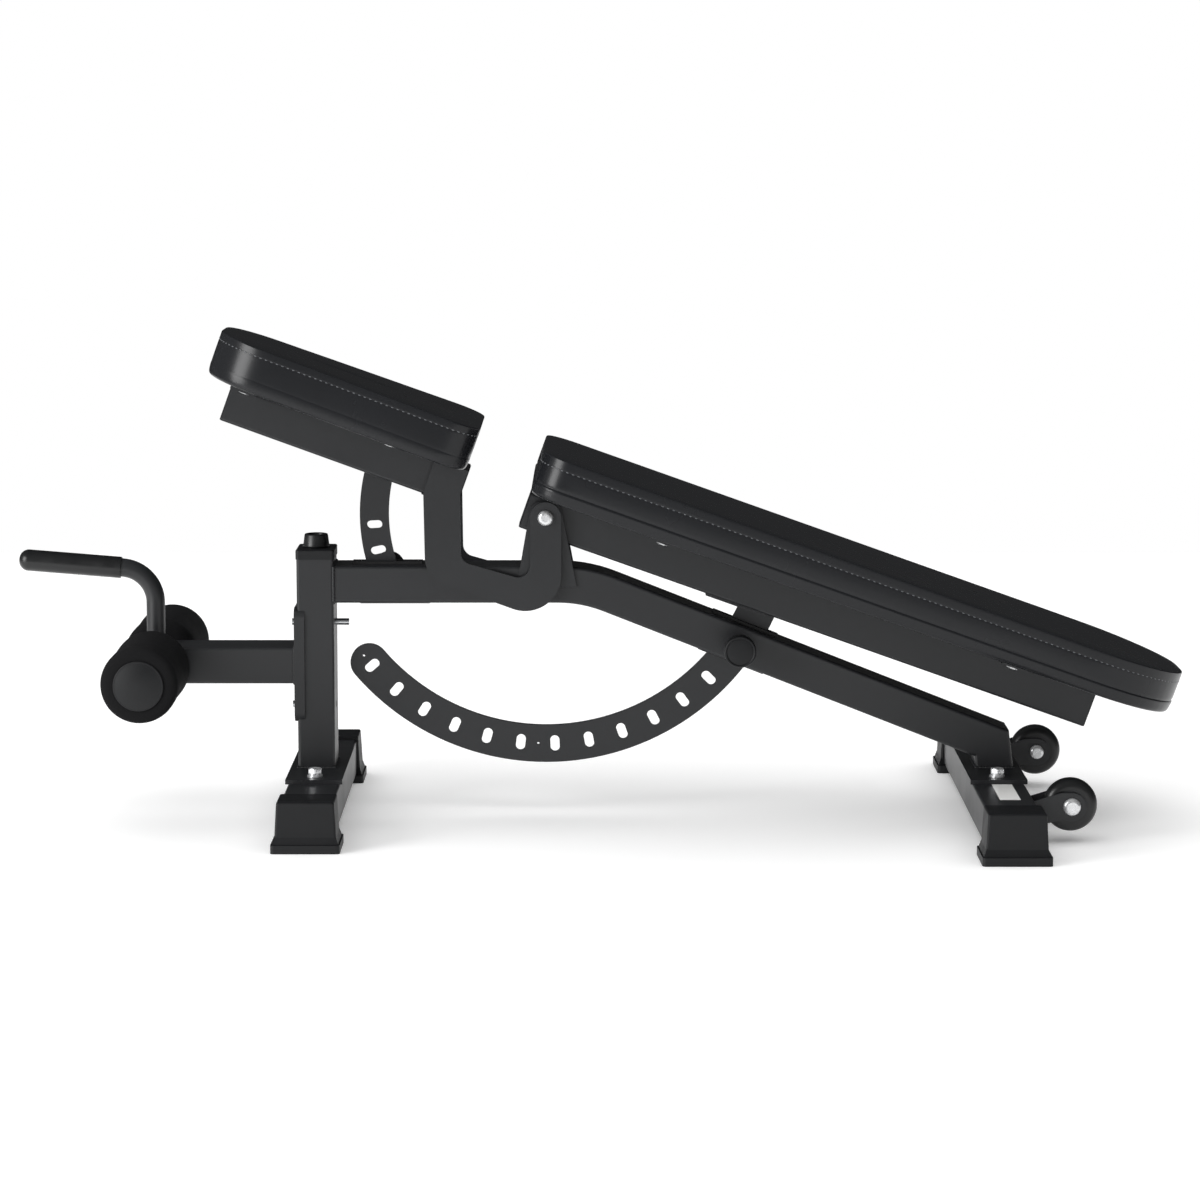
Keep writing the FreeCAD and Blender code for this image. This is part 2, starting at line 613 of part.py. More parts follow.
def pivot_bolt():
    """One bolt through the seat's arms, the hinge plates and the backrest's sleeve."""
    face = "arm_inner_y + arm_thick + 0.4"
    far = "-(%s) - 14" % face
    corners = [("0", far), ("pivot_bolt_radius", far), ("pivot_bolt_radius", face),
               ("pivot_head_radius", face), ("pivot_head_radius", face + " + pivot_head_long"),
               ("0", face + " + pivot_head_long")]
    crown = size("arm_inner_y") + size("arm_thick") + 0.4 + size("pivot_head_long")
    facing(turned("pivot_bolt", corners, ("pivot_head_long - 1", [crown])), -1, "pivot_x", "pivot_z")
    nut = take(join(hexagon("19", "9"), rod("8", "4", "8")), rod("pivot_bolt_radius", "30", "-1"))
    keep(nut, "pivot_nut")
    facing(nut, 1, "pivot_x", "pivot_z", face)


def slot_guide(x, z, angle):
    """Moulded guide in a beam slot: a lip outside and a sleeve through the tube's wall."""
    half_gap = "(ladder_thick / 2 + guide_gap)"
    lip = block("-guide_long / 2", "guide_long / 2", "-guide_wide / 2", "guide_wide / 2", "0", "guide_lip")
    sleeve = block("-guide_open_long / 2 - guide_wall", "guide_open_long / 2 + guide_wall",
                   "-%s - guide_wall" % half_gap, "%s + guide_wall" % half_gap, "-tube_wall", "1")
    gap = block("-guide_open_long / 2", "guide_open_long / 2", "-" + half_gap, half_gap, "-9", "9")
    return place(take(join(lip, sleeve), gap), x, "0", z, Y_AXIS, angle)


def slot_guides():
    half = "tube_deep / 2"
    seat = [slot_guide("seat_guide_top_x", "beam_z + " + half, "0"),
            slot_guide("seat_guide_low_x", "beam_z - " + half, "180")]
    group("seat_slot_guides", seat)
    back = []
    for offset, angle in ((half, "beam_slope"), ("-" + half, "beam_slope + 180")):
        x, z = on_slope("back_guide_along", offset)
        back.append(slot_guide(x + " + post_x + tube_deep / 2", z + " + beam_z", angle))
    group("back_slot_guides", back)


def pin_housings():
    """Bosses welded on the beam's sides; each holds a pull pin and its spring."""
    wall = "tube_wide / 2"
    end = "tube_wide / 2 + housing_long"
    corners = [("pin_radius + running_gap", wall), ("housing_radius", wall), ("housing_radius", end),
               ("pin_stem_radius + running_gap", end),
               ("pin_stem_radius + running_gap", end + " - housing_floor"),
               ("housing_bore", end + " - housing_floor"), ("housing_bore", wall + " + housing_floor"),
               ("pin_radius + running_gap", wall + " + housing_floor")]
    housings = []
    for which, side in (("back", -1), ("seat", 1)):
        x, z = pin_place(which)
        housings.append(facing(turned("housing", corners), side, x, z))
    group("pin_housings", housings)


def pin_springs():
    """Compression springs at their squeezed length, at the outer end of each housing."""
    springs = []
    inner = "tube_wide / 2 + housing_long - housing_floor - spring_wire / 2 - spring_turns * spring_pitch"
    for which, side in (("back", -1), ("seat", 1)):
        helix = doc.addObject("Part::Helix", which + "_coil")
        bind(helix, Pitch="spring_pitch", Height="spring_turns * spring_pitch",
             Radius="(pin_stem_radius + housing_bore) / 2")
        section = doc.addObject("Part::RegularPolygon", which + "_wire")
        section.Polygon = 8
        section.Placement.Rotation = Rotation(X_AXIS, 90)
        bind(section, Circumradius="spring_wire / 2",
             Placement__Base__x="(pin_stem_radius + housing_bore) / 2")
        spring = doc.addObject("Part::Sweep", which + "_spring")
        spring.Sections = [section]
        spring.Spine = (helix, [])
        spring.Solid = True
        spring.Frenet = True
        doc.recompute()
        x, z = pin_place(which)
        springs.append(facing(spring, side, x, z, "(%d) * (%s)" % (side, inner)))
    group("pin_springs", springs)


def wheel_forks():
    """Pairs of ears on the rear foot's back face that hold the wheel axles."""
    rear_face = "rear_foot_x + tube_wide / 2"
    corners = [(rear_face, "wheel_z - 26"), (rear_face, "wheel_z + 7"), ("wheel_x - 14", "wheel_z + 18"),
               ("wheel_x + 18", "wheel_z + 18"), ("wheel_x + 18", "wheel_z - 18"),
               ("wheel_x - 14", "wheel_z - 18")]
    ears = []
    for side in (-1, 1):
        for out in (-1, 1):
            ear = plate("ear", corners, "fork_thick", [("17.5", (3, 4)), ("10", (2, 5))],
                        [("wheel_x", "wheel_z", "axle_radius + 0.1")])
            y = "(%d) * (wheel_y + (%d) * (fork_gap + fork_thick / 2))" % (side, out)
            ears.append(place(ear, "0", y, "0"))
    group("wheel_forks", ears)


def wheel_axles():
    """Domed axle bolts through the wheels, and domed barrel nuts on their inner ends."""
    outer = "wheel_y + fork_gap + fork_thick"
    inner = "wheel_y - fork_gap - fork_thick"
    ends = [size("wheel_y") + size("fork_gap") + size("fork_thick") + 6,
            size("wheel_y") - size("fork_gap") - size("fork_thick") - 9]
    bolts, nuts = [], []
    for side in (-1, 1):
        corners = [("0", inner + " - 6"), ("axle_radius", inner + " - 6"), ("axle_radius", outer),
                   ("11.5", outer), ("11.5", outer + " + 6"), ("0", outer + " + 6")]
        bolts.append(facing(turned("axle", corners, ("5", ends[:1])), side, "wheel_x", "wheel_z"))
        shell = [("axle_radius + 0.05", inner), ("9.5", inner), ("9.5", inner + " - 9"),
                 ("0", inner + " - 9"), ("0", inner + " - 6.5"), ("axle_radius + 0.05", inner + " - 6.5")]
        nuts.append(facing(turned("nut", shell, ("4", ends[1:])), side, "wheel_x", "wheel_z"))
    group("wheel_axles", bolts)
    group("wheel_nuts", nuts)


def blank_label():
    """Plain label without print, stuck on the rear foot beside its left boot."""
    body = new_body("blank_label")
    sketch = sketch_on(body, "XY", "foot_z + tube_deep / 2")
    draw_box(sketch, "label_x - label_wide / 2", "label_x + label_wide / 2", "-label_near", "-label_far")
    pad(body, sketch, "label_thick", midplane=False)


# ---------------------------------------------------------------- moving hardware

def pull_pins():
    """Spring-loaded pull pins: the backrest's on the left side, the seat's on the right."""
    collar = "tube_wide / 2 + housing_floor"
    knob_face = "tube_wide / 2 + housing_long + 1"
    pin = [("0", "pin_tip"), ("pin_radius - 1.5", "pin_tip"), ("pin_radius", "pin_tip + 3"),
           ("pin_radius", collar), ("pin_collar_radius", collar),
           ("pin_collar_radius", collar + " + pin_collar_long"),
           ("pin_stem_radius", collar + " + pin_collar_long"),
           ("pin_stem_radius", knob_face + " + 12"), ("0", knob_face + " + 12")]
    knob = [("pin_stem_radius", knob_face), ("knob_radius - 7", knob_face),
            ("knob_radius - 7", knob_face + " + 6"), ("knob_radius", knob_face + " + 9"),
            ("knob_radius", knob_face + " + knob_long"), ("0", knob_face + " + knob_long"),
            ("0", knob_face + " + 12"), ("pin_stem_radius", knob_face + " + 12")]
    front = size("tube_wide") / 2 + size("housing_long") + 1 + size("knob_long")
    for which, side in (("back", -1), ("seat", 1)):
        x, z = pin_place(which)
        facing(turned(which + "_pin", pin), side, x, z)
        facing(turned(which + "_knob", knob, ("knob_edge", [front])), side, x, z)


def transport_wheels():
    tyre = [("hub_radius", "wheel_y - tyre_half"), ("tyre_radius", "wheel_y - tyre_half"),
            ("tyre_radius", "wheel_y + tyre_half"), ("hub_radius", "wheel_y + tyre_half")]
    hub = [("axle_radius + running_gap", "wheel_y - hub_half"), ("12", "wheel_y - hub_half"),
           ("12", "wheel_y - 9"), ("hub_radius - 4", "wheel_y - 9"), ("hub_radius - 4", "wheel_y - tyre_half"),
           ("hub_radius", "wheel_y - tyre_half"), ("hub_radius", "wheel_y + tyre_half"),
           ("hub_radius - 4", "wheel_y + tyre_half"), ("hub_radius - 4", "wheel_y + 9"),
           ("12", "wheel_y + 9"), ("12", "wheel_y + hub_half"),
           ("axle_radius + running_gap", "wheel_y + hub_half")]
    heights = [size("wheel_y") - size("tyre_half"), size("wheel_y") + size("tyre_half")]
    for side, hand in ((-1, "left"), (1, "right")):
        facing(turned("tyre_" + hand, tyre, ("11", heights)), side, "wheel_x", "wheel_z")
        facing(turned("wheel_hub_" + hand, hub), side, "wheel_x", "wheel_z")


# ---------------------------------------------------------------- seat and backrest

def upholstered_pad(which, corners, rounds, top, angle):
    """Cushion with its plywood board let into the underside; corners run round the plan outline."""
    cushion = new_body(which + "_cushion")
    low = which + "_pad_low"
    sketch = sketch_on(cushion, "XY", low)
    draw_outline(sketch, corners)
    pad(cushion, sketch, "%s - %s" % (top, low), midplane=False)
    for radius, numbers in rounds:
        round_edges(cushion, radius, standing_at(sketch, numbers))
    round_edges(cushion, "pad_edge", at_height(size(top)))
    round_edges(cushion, "pad_edge - 3", at_height(size(low)))
    board = new_body(which + "_board")
    shape = board_outline(corners, rounds)
    outline = sketch_on(board, "XY", low)
    draw_outline(outline, shape)
    pad(board, outline, "board_thick", midplane=False)
    recess = sketch_on(cushion, "XY", low)
    draw_outline(recess, shape)
    pocket(cushion, recess, "board_thick", midplane=False, reverse=True)
    tilt(cushion, angle)
    tilt(board, angle)


def board_outline(corners, rounds):
    """The pad's plan outline, drawn in all round, with each corner sawn off in two cuts."""
    cut = {number: radius for radius, numbers in rounds for number in numbers}
    outline = []
    for number, (x, y) in enumerate(corners):
        into_x = "+" if x.endswith(("front", "foot")) else "-"
        into_y = "+" if y.startswith("-") else "-"
        x = "%s %s board_inset" % (x, into_x)
        y = "%s %s board_inset" % (y, into_y)
        beside = ("%s %s (%s - board_inset)" % (x, into_x, cut[number]), y)
        below = (x, "%s %s (%s - board_inset)" % (y, into_y, cut[number]))
        between = ("%s %s (%s - board_inset) * (1 - cos(45))" % (x, into_x, cut[number]),
                   "%s %s (%s - board_inset) * (1 - cos(45))" % (y, into_y, cut[number]))
        outline += [below, between, beside] if number in (0, 2) else [beside, between, below]
    return outline


def cross_bars(which, places, angle):
    """Flat steel bars across the frame tube, and the bolts that hold the pad on them."""
    bars, bolts = [], []
    under = which + "_pad_low - bar_thick"
    for x in places:
        low, high = x + " - bar_wide / 2", x + " + bar_wide / 2"
        bar = block(low, high, "-%s_bar_long / 2" % which, which + "_bar_long / 2", under, which + "_pad_low")
        for sign in ("-", ""):
            hole = place(rod("4.2", "60"), x, sign + which + "_bolt_y", "0")
            bar = take(bar, hole)
            bolt = hex_bolt("m8_flats", "m8_head", "4", "14")
            bolts.append(place(bolt, x, sign + which + "_bolt_y", under, X_AXIS, "180"))
        if which == "back":
            spacer = block(low, high, "-back_tube_wide / 2", "back_tube_wide / 2", "frame_top", under)
            bar = join(bar, spacer)
        bars.append(bar)
    tilt(group(which + "_cross_bars", bars), angle)
    tilt(group(which + "_pad_bolts", bolts), angle)


def bolt_holes(which, places):
    """Blind holes in a board for its pad bolts."""
    board = next(item for item in pieces if item.Label == which + "_board")
    sketch = sketch_on(board, "XY", which + "_pad_low")
    for x in places:
        for sign in ("-", ""):
            draw_circle(sketch, x, sign + which + "_bolt_y", "4")
    pocket(board, sketch, "10", midplane=False, reverse=True)


def frame_tube(which, wide, low, high, angle):
    """The straight tube under a pad, with plugs in both ends."""
    body = tube(which + "_tube", "YZ", wide, "frame_top - frame_low", low, high)
    ends = []
    for x, out in ((low, -1), (high, 1)):
        cap = new_body("cap")
        rim = sketch_on(cap, "YZ", x)
        draw_box(rim, "-%s / 2 + 0.5" % wide, "%s / 2 - 0.5" % wide,
                 "(frame_low - frame_top) / 2 + 0.5", "(frame_top - frame_low) / 2 - 0.5")
        pad(cap, rim, "1.5", midplane=False, reverse=out < 0)
        round_edges(cap, "tube_round - 0.5", standing_at(rim, range(4)))
        plug = sketch_on(cap, "YZ", x)
        draw_box(plug, "-%s / 2 + tube_wall" % wide, "%s / 2 - tube_wall" % wide,
                 "(frame_low - frame_top) / 2 + tube_wall", "(frame_top - frame_low) / 2 - tube_wall")
        pad(cap, plug, "8", midplane=False, reverse=out > 0)
        ends.append(cap)
    middle = "(frame_low + frame_top) / 2"
    for item in [body] + ends:
        place(item, "pivot_x + (%s) * sin(%s)" % (middle, angle), "0",
              "pivot_z + (%s) * cos(%s)" % (middle, angle), Y_AXIS, angle)
    group(which + "_tube_caps", ends)
    return body


def ladder(which, start, sweep, stop_low):
    """Arc plate about the pivot with radial slots; the top end is cut level under the frame tube."""
    body = new_body(which + "_ladder")
    radius = which + "_ladder_radius"
    wide = which + "_ladder_wide"
    section = sketch_on(body, "XY")
    draw_box(section, "%s - %s / 2" % (radius, wide), "%s + %s / 2" % (radius, wide),
             "-ladder_thick / 2", "ladder_thick / 2")
    section.AttachmentOffset = FreeCAD.Placement(Vector(0, 0, 0), Rotation(-Y_AXIS, 1))
    bind(section, AttachmentOffset__Rotation__Angle=start)
    revolve(body, section, sweep, reverse=which == "back")
    tip = sketch_on(body, "XZ")
    draw_circle(tip, "%s * cos(%s)" % (radius, start), "%s * sin(%s)" % (radius, start), wide + " / 2")
    pad(body, tip, "ladder_thick")
    trim = sketch_on(body, "XZ")
    draw_box(trim, "-600", "600", stop_low, stop_low + " + 120")
    pocket(body, trim, "ladder_thick * 3")
    return body


def slot_at(sketch, radius, angle, length, width):
    """A radial slot with round ends."""
    half = (size(length) - size(width)) / 2
    centre = size(radius)
    end = size(width) / 2
    direction = math.radians(angle)
    out = Vector(math.cos(direction), math.sin(direction), 0)
    across = Vector(-out.y, out.x, 0)
    near = out * (centre - half)
    far = out * (centre + half)
    first = sketch.GeometryCount
    sketch.addGeometry(Part.LineSegment(near + across * end, far + across * end))
    sketch.addGeometry(Part.Arc(far + across * end, far + out * end, far - across * end))
    sketch.addGeometry(Part.LineSegment(far - across * end, near - across * end))
    sketch.addGeometry(Part.Arc(near - across * end, near - out * end, near + across * end))
    for line, arc in ((first, first + 1), (first + 2, first + 1), (first + 2, first + 3), (first, first + 3)):
        join_ends(sketch, line, arc)
    for arc, shift in ((first + 1, "+"), (first + 3, "-")):
        reach = "(%s %s (%s - %s) / 2)" % (radius, shift, length, width)
        fix_point(sketch, arc, 3, "%s * cos(%s)" % (reach, angle), "%s * sin(%s)" % (reach, angle))
        number = sketch.addConstraint(Sketcher.Constraint("Radius", arc, end))
        sketch.setExpression("Constraints[%d]" % number, formula(width + " / 2"))


def join_ends(sketch, line, arc):
    """Make a line run smoothly into an arc where their ends meet."""
    for line_end in (1, 2):
        for arc_end in (1, 2):
            if (sketch.getPoint(line, line_end) - sketch.getPoint(arc, arc_end)).Length < 1e-6:
                sketch.addConstraint(Sketcher.Constraint("Tangent", line, line_end, arc, arc_end))
                return


def cut_slots(body, which, first, count, step):
    """Cut one slot and repeat it round the pivot."""
    sketch = sketch_on(body, "XZ")
    slot_at(sketch, which + "_ladder_radius", first, which + "_slot_long", which + "_slot_wide")
    cut = pocket(body, sketch, "ladder_thick * 3")
    if count == 1:
        return
    before = body.Shape.Volume
    pattern = body.newObject("PartDesign::PolarPattern", which + "_slots")
    pattern.Originals = [cut]
    pattern.Axis = (sketch, ["N_Axis"])
    pattern.Mode = "Spacing"
    pattern.Occurrences = count
    bind(pattern, Offset=step)
    body.Tip = pattern
    doc.recompute()
    if body.Shape.Volume > before - 100:
        raise RuntimeError(which + " ladder: the slots did not repeat")


def seat():
    """Everything that turns with the seat."""
    frame_tube("seat", "seat_tube_wide", "seat_tube_front", "seat_tube_rear", "seat_tilt")
    corners = [("seat_pad_front", "-seat_front_half"), ("seat_pad_rear", "-seat_rear_half"),
               ("seat_pad_rear", "seat_rear_half"), ("seat_pad_front", "seat_front_half")]
    rounds = [("seat_front_round", (0, 3)), ("seat_rear_round", (1, 2))]
    upholstered_pad("seat", corners, rounds, "seat_pad_top", "seat_tilt")
    bars = ("seat_bar_front", "seat_bar_rear")
    cross_bars("seat", bars, "seat_tilt")
    bolt_holes("seat", bars)
    arms = []
    for sign in ("-", ""):
        arms.append(seat_arm(sign))
    group("seat_arms", arms)
    bushes = []
    for side in (-1, 1):
        bush = [("pivot_bolt_radius + running_gap", "tube_wide / 2 + hinge_plate_thick + 0.1"),
                ("14", "tube_wide / 2 + hinge_plate_thick + 0.1"), ("14", "arm_inner_y"),
                ("9", "arm_inner_y"), ("9", "arm_inner_y + arm_thick"),
                ("pivot_bolt_radius + running_gap", "arm_inner_y + arm_thick")]
        bushes.append(facing(turned("bush", bush), side, "pivot_x", "pivot_z"))
    group("pivot_bushes", bushes)
    body = ladder("seat", "221", "38", "frame_low")
    cut_slots(body, "seat", size("seat_slot_first"), int(size("seat_slot_count")), "seat_slot_step")
    tilt(body, "seat_tilt")


def seat_arm(sign):
    """Flat hooked arm from the seat's tube, down past the beam and up to the pivot.

    It is drawn as it stands in the decline setting, about the pivot.
    """
    top_left = ("frame_top * sin(seat_tilt) - 165.6 * cos(seat_tilt)",
                "frame_top * cos(seat_tilt) + 165.6 * sin(seat_tilt)")
    top_right = ("frame_top * sin(seat_tilt) + (seat_tube_rear + 0.3) * cos(seat_tilt)",
                 "frame_top * cos(seat_tilt) - (seat_tube_rear + 0.3) * sin(seat_tilt)")
    corners = [top_left, ("-163.5", "34"), ("-161.5", "-80.3"), ("pivot_lobe", "-146.7"),
               ("pivot_lobe", "pivot_lobe"), ("-pivot_lobe", "pivot_lobe"), ("-pivot_lobe", "-85.7"),
               ("-113.5", "-59.2"), ("-114.5", "31"), top_right]
    rounds = [("38", (2,)), ("48.5", (3,)), ("pivot_lobe - 0.05", (4, 5)), ("16", (6, 7)), ("12", (1, 8))]
    arm = plate("seat_arm", corners, "arm_thick", rounds, [("0", "0", "9")])
    return place(arm, "pivot_x", sign + "(arm_inner_y + arm_thick / 2)", "pivot_z")


def backrest():
    """Everything that turns with the backrest."""
    body = frame_tube("back", "back_tube_wide", "back_tube_foot", "back_tube_head", "back_tilt")
    middle = "(frame_low + frame_top) / 2"
    sketch = sketch_on(body, "XZ")
    draw_circle(sketch, "0", "-" + middle, "sleeve_radius")
    pocket(body, sketch, "back_tube_wide * 2")
    sleeve = [("pivot_bolt_radius + running_gap", "-sleeve_half"), ("sleeve_radius", "-sleeve_half"),
              ("sleeve_radius", "sleeve_half"), ("pivot_bolt_radius + running_gap", "sleeve_half")]
    facing(turned("back_pivot_sleeve", sleeve), 1, "pivot_x", "pivot_z")
    corners = [("back_pad_foot", "-back_half"), ("back_pad_head", "-back_half"),
               ("back_pad_head", "back_half"), ("back_pad_foot", "back_half")]
    rounds = [("back_foot_round", (0, 3)), ("back_head_round", (1, 2))]
    upholstered_pad("back", corners, rounds, "back_pad_top", "back_tilt")
    bars = ("back_bar_foot", "back_bar_head")
    cross_bars("back", bars, "back_tilt")
    bolt_holes("back", bars)
    half = "back_ladder_plate_long / 2"
    flange = block("back_ladder_plate_at - " + half, "back_ladder_plate_at + " + half,
                   "-back_tube_wide / 2 + 4", "back_tube_wide / 2 - 4",
                   "frame_low - back_ladder_plate_thick", "frame_low")
    tilt(group("back_ladder_plate", [flange]), "back_tilt")
    arc = ladder("back", "220.1 + back_tilt", "120", "frame_low - back_ladder_plate_thick")
    cut_slots(arc, "back", size("back_slot_first") + size("back_tilt"), int(size("back_slot_count")),
              "back_slot_step")
    cut_slots(arc, "back", size("back_slot_lock") + size("back_tilt"), 1, "0")
    holes = sketch_on(arc, "XZ")
    for angle in ("(stop_hole_end + back_tilt)", "(stop_hole_flat + back_tilt)"):
        draw_circle(holes, "back_ladder_radius * cos%s" % angle, "back_ladder_radius * sin%s" % angle,
                    "stop_hole_radius")
    pocket(arc, holes, "ladder_thick * 3")
    tilt(arc, "back_tilt")


# ---------------------------------------------------------------- leg holder

def leg_holder():
    """Bracket that hangs on the front post, with its arm, rollers and handle."""
    face = "post_x - tube_deep / 2 - holder_gap"
    bracket_plate(face)
    arm = tube("holder_arm", "YZ", "tube_wide", "tube_deep", "arm_end", face + " - bracket_thick")
    cross = sketch_on(arm, "XZ")
    draw_circle(cross, "roller_x", "0", "roller_tube_radius")
    pocket(arm, cross, "tube_wide * 2")
    place(arm, "0", "0", "arm_z")
    pins = []
    for height, end in (("hitch_z", "hitch_end"), ("stud_z", "stud_end")):
        start = face + " - bracket_thick - 5"
        pin = rod("hitch_radius", "%s - (%s)" % (end, start))
        pins.append(place(pin, start, "0", height, Y_AXIS, "90"))
    group("hitch_pins", pins)
    reach = "foam_outer + 1"
    inner = "roller_tube_radius - roller_tube_wall"
    bar = [(inner, "-(%s)" % reach), ("roller_tube_radius", "-(%s)" % reach),
           ("roller_tube_radius", reach), (inner, reach)]
    facing(turned("roller_tube", bar), 1, "roller_x", "arm_z")
    stops, caps = [], []
    for side, hand in ((-1, "left"), (1, "right")):
        ring = [("roller_tube_radius", "tube_wide / 2"), ("17", "tube_wide / 2"), ("17", "foam_inner - 0.4"),
                ("roller_tube_radius", "foam_inner - 0.4")]
        stops.append(facing(turned("stop", ring), side, "roller_x", "arm_z"))
        cap = [("0", reach), ("roller_tube_radius", reach), ("roller_tube_radius", "foam_outer + 0.4"),
               ("end_cap_radius - 1", "foam_outer + 0.4"), ("end_cap_radius", "foam_outer + 2"),
               ("end_cap_radius - 6", "foam_outer + end_cap_thick - 1.5"),
               ("end_cap_radius - 16", "foam_outer + end_cap_thick"), ("0", "foam_outer + end_cap_thick")]
        caps.append(facing(turned("cap", cap), side, "roller_x", "arm_z"))
        foam = [("roller_tube_radius + running_gap", "foam_inner"), ("foam_radius", "foam_inner"),
                ("foam_radius", "foam_outer"), ("roller_tube_radius + running_gap", "foam_outer")]
        ends = ("foam_edge", [size("foam_inner"), size("foam_outer")])
        facing(turned("foam_roller_" + hand, foam, ends), side, "roller_x", "arm_z")
    group("roller_stops", stops)
    group("roller_end_caps", caps)
    handle()


def bracket_plate(face):
    """U-shaped bracket round the front of the post."""
    body = new_body("holder_bracket")
    web = sketch_on(body, "YZ")
    half = "tube_wide / 2 + holder_gap + bracket_thick"
    draw_box(web, "-(%s)" % half, half, "bracket_low", "bracket_top")
    pad(body, web, "bracket_thick + bracket_lip", midplane=False)
    round_edges(body, "12", standing_at(web, range(4)))
    channel = sketch_on(body, "YZ", "bracket_thick")
    inner = "tube_wide / 2 + holder_gap"
    draw_box(channel, "-(%s)" % inner, inner, "bracket_low - 5", "bracket_top + 5")
    pocket(body, channel, "bracket_lip", midplane=False, reverse=True)
    drill(body, [("0", "hitch_z", "hitch_radius"), ("0", "stud_z", "hitch_radius")], "30", "YZ")
    place(body, face + " - bracket_thick")


def handle():
    """Round tube that rises from the arm and bends towards the user's feet, with a rubber grip."""
    tube_body = new_body("handle_tube")
    route = sketch_on(tube_body, "XZ")
    lift = math.radians(size("handle_lift"))
    bend = size("handle_bend")
    rise = size("handle_rise") - size("arm_z") - size("tube_deep") / 2
    trim = bend * math.tan((math.pi / 2 - lift) / 2)
    reach = size("grip_start") + size("grip_length") - size("grip_radius")
    out = Vector(-math.cos(lift), math.sin(lift), 0)
    knee = Vector(0, rise, 0)
    before = Vector(0, rise - trim, 0)
    circle = Part.Circle(Vector(-bend, rise - trim, 0), Z_AXIS, bend)
    route.addGeometry(Part.LineSegment(Vector(0, 0, 0), before))
    route.addGeometry(Part.ArcOfCircle(circle, 0, math.pi / 2 - lift))
    route.addGeometry(Part.LineSegment(knee + out * trim, knee + out * reach))
    route.addConstraint(Sketcher.Constraint("Coincident", 0, 1, -1, 1))
    route.addConstraint(Sketcher.Constraint("Vertical", 0))
    route.addConstraint(Sketcher.Constraint("Tangent", 0, 2, 1, 1))
    route.addConstraint(Sketcher.Constraint("Tangent", 1, 2, 2, 1))
    number = route.addConstraint(Sketcher.Constraint("Radius", 1, bend))
    route.setExpression("Constraints[%d]" % number, formula("handle_bend"))
    rise_text = "handle_rise - arm_z - tube_deep / 2"
    reach_text = "(grip_start + grip_length - grip_radius)"
    number = route.addConstraint(Sketcher.Constraint("DistanceY", -1, 1, 0, 2, before.y))
    route.setExpression("Constraints[%d]" % number,
                        formula(rise_text + " - handle_bend * tan((90 - handle_lift) / 2)"))
    fix_point(route, 2, 2, "-%s * cos(handle_lift)" % reach_text,
              "%s + %s * sin(handle_lift)" % (rise_text, reach_text))
    for kind, radius in (("PartDesign::AdditivePipe", "roller_tube_radius"),
                         ("PartDesign::SubtractivePipe", "roller_tube_radius - roller_tube_wall")):
        ring = sketch_on(tube_body, "XY")
        draw_circle(ring, "0", "0", radius)
        pipe = tube_body.newObject(kind, "handle_pipe")
        pipe.Profile = ring
        pipe.Spine = (route, [])
        doc.recompute()
    place(tube_body, "roller_x", "0", "arm_z + tube_deep / 2")
    grip = new_body("handle_grip")
    sketch = sketch_on(grip, "XZ")
    inner = "roller_tube_radius"
    corners = [(inner, "0"), ("grip_radius", "0"), ("grip_radius", "grip_length"), ("0", "grip_length"),
               ("0", "grip_length - grip_radius"), (inner, "grip_length - grip_radius")]
    draw_outline(sketch, corners)
    revolve(grip, sketch)
    level = at_height(size("grip_length"))
    round_edges(grip, "grip_radius - 1.5", level)
    place(grip, "roller_x - grip_start * cos(handle_lift)", "0",
          "handle_rise + grip_start * sin(handle_lift)", Y_AXIS, "-90 + handle_lift")


# ---------------------------------------------------------------- build and write

def build():
    boots = cross_foot("front", "front_foot_x", "front_half_span")
    boots += cross_foot("rear", "rear_foot_x", "rear_half_span")
    group("foot_boots", boots)
    base_fasteners()
    front_post()
    main_beam()
    rear_leg()
    hinge_plates()
    pivot_bolt()
    slot_guides()
    pin_housings()
    pin_springs()
    wheel_forks()
    wheel_axles()
    blank_label()
    pull_pins()
    transport_wheels()
    seat()
    backrest()
    leg_holder()
    doc.recompute()


def check():
    """Stop if any object failed or any piece has a bad shape."""
    for item in doc.Objects:
        if "Invalid" in item.State or "Error" in item.State:
            raise RuntimeError("%s (%s) did not compute" % (item.Label, item.Name))
    for item in pieces:
        shape = item.Shape
        if shape.isNull() or not shape.isValid() or not shape.Solids:
            raise RuntimeError(item.Label + " has no valid solid")


def write():
    os.makedirs("parts", exist_ok=True)
    for item in pieces:
        item.Shape.exportStep("parts/%s.step" % item.Label)


build()
check()
write()
print(len(pieces), "pieces written")
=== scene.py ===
"""Adjustable exercise bench in its decline setting: the looks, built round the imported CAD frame."""
import math

import bmesh
import bpy
from mathutils import Matrix, Vector


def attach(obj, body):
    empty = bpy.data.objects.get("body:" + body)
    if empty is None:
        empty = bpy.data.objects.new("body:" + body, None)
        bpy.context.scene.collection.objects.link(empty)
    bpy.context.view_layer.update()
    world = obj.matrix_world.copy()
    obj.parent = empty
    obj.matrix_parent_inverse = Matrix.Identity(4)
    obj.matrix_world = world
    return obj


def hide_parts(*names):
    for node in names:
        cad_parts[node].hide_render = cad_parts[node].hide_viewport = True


MM = 0.001
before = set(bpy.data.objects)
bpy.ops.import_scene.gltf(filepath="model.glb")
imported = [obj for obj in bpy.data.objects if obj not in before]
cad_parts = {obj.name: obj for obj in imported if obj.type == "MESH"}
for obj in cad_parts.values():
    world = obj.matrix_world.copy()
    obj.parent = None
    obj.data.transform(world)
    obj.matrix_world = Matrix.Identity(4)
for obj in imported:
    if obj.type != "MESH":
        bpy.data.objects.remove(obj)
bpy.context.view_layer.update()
scene = bpy.context.scene

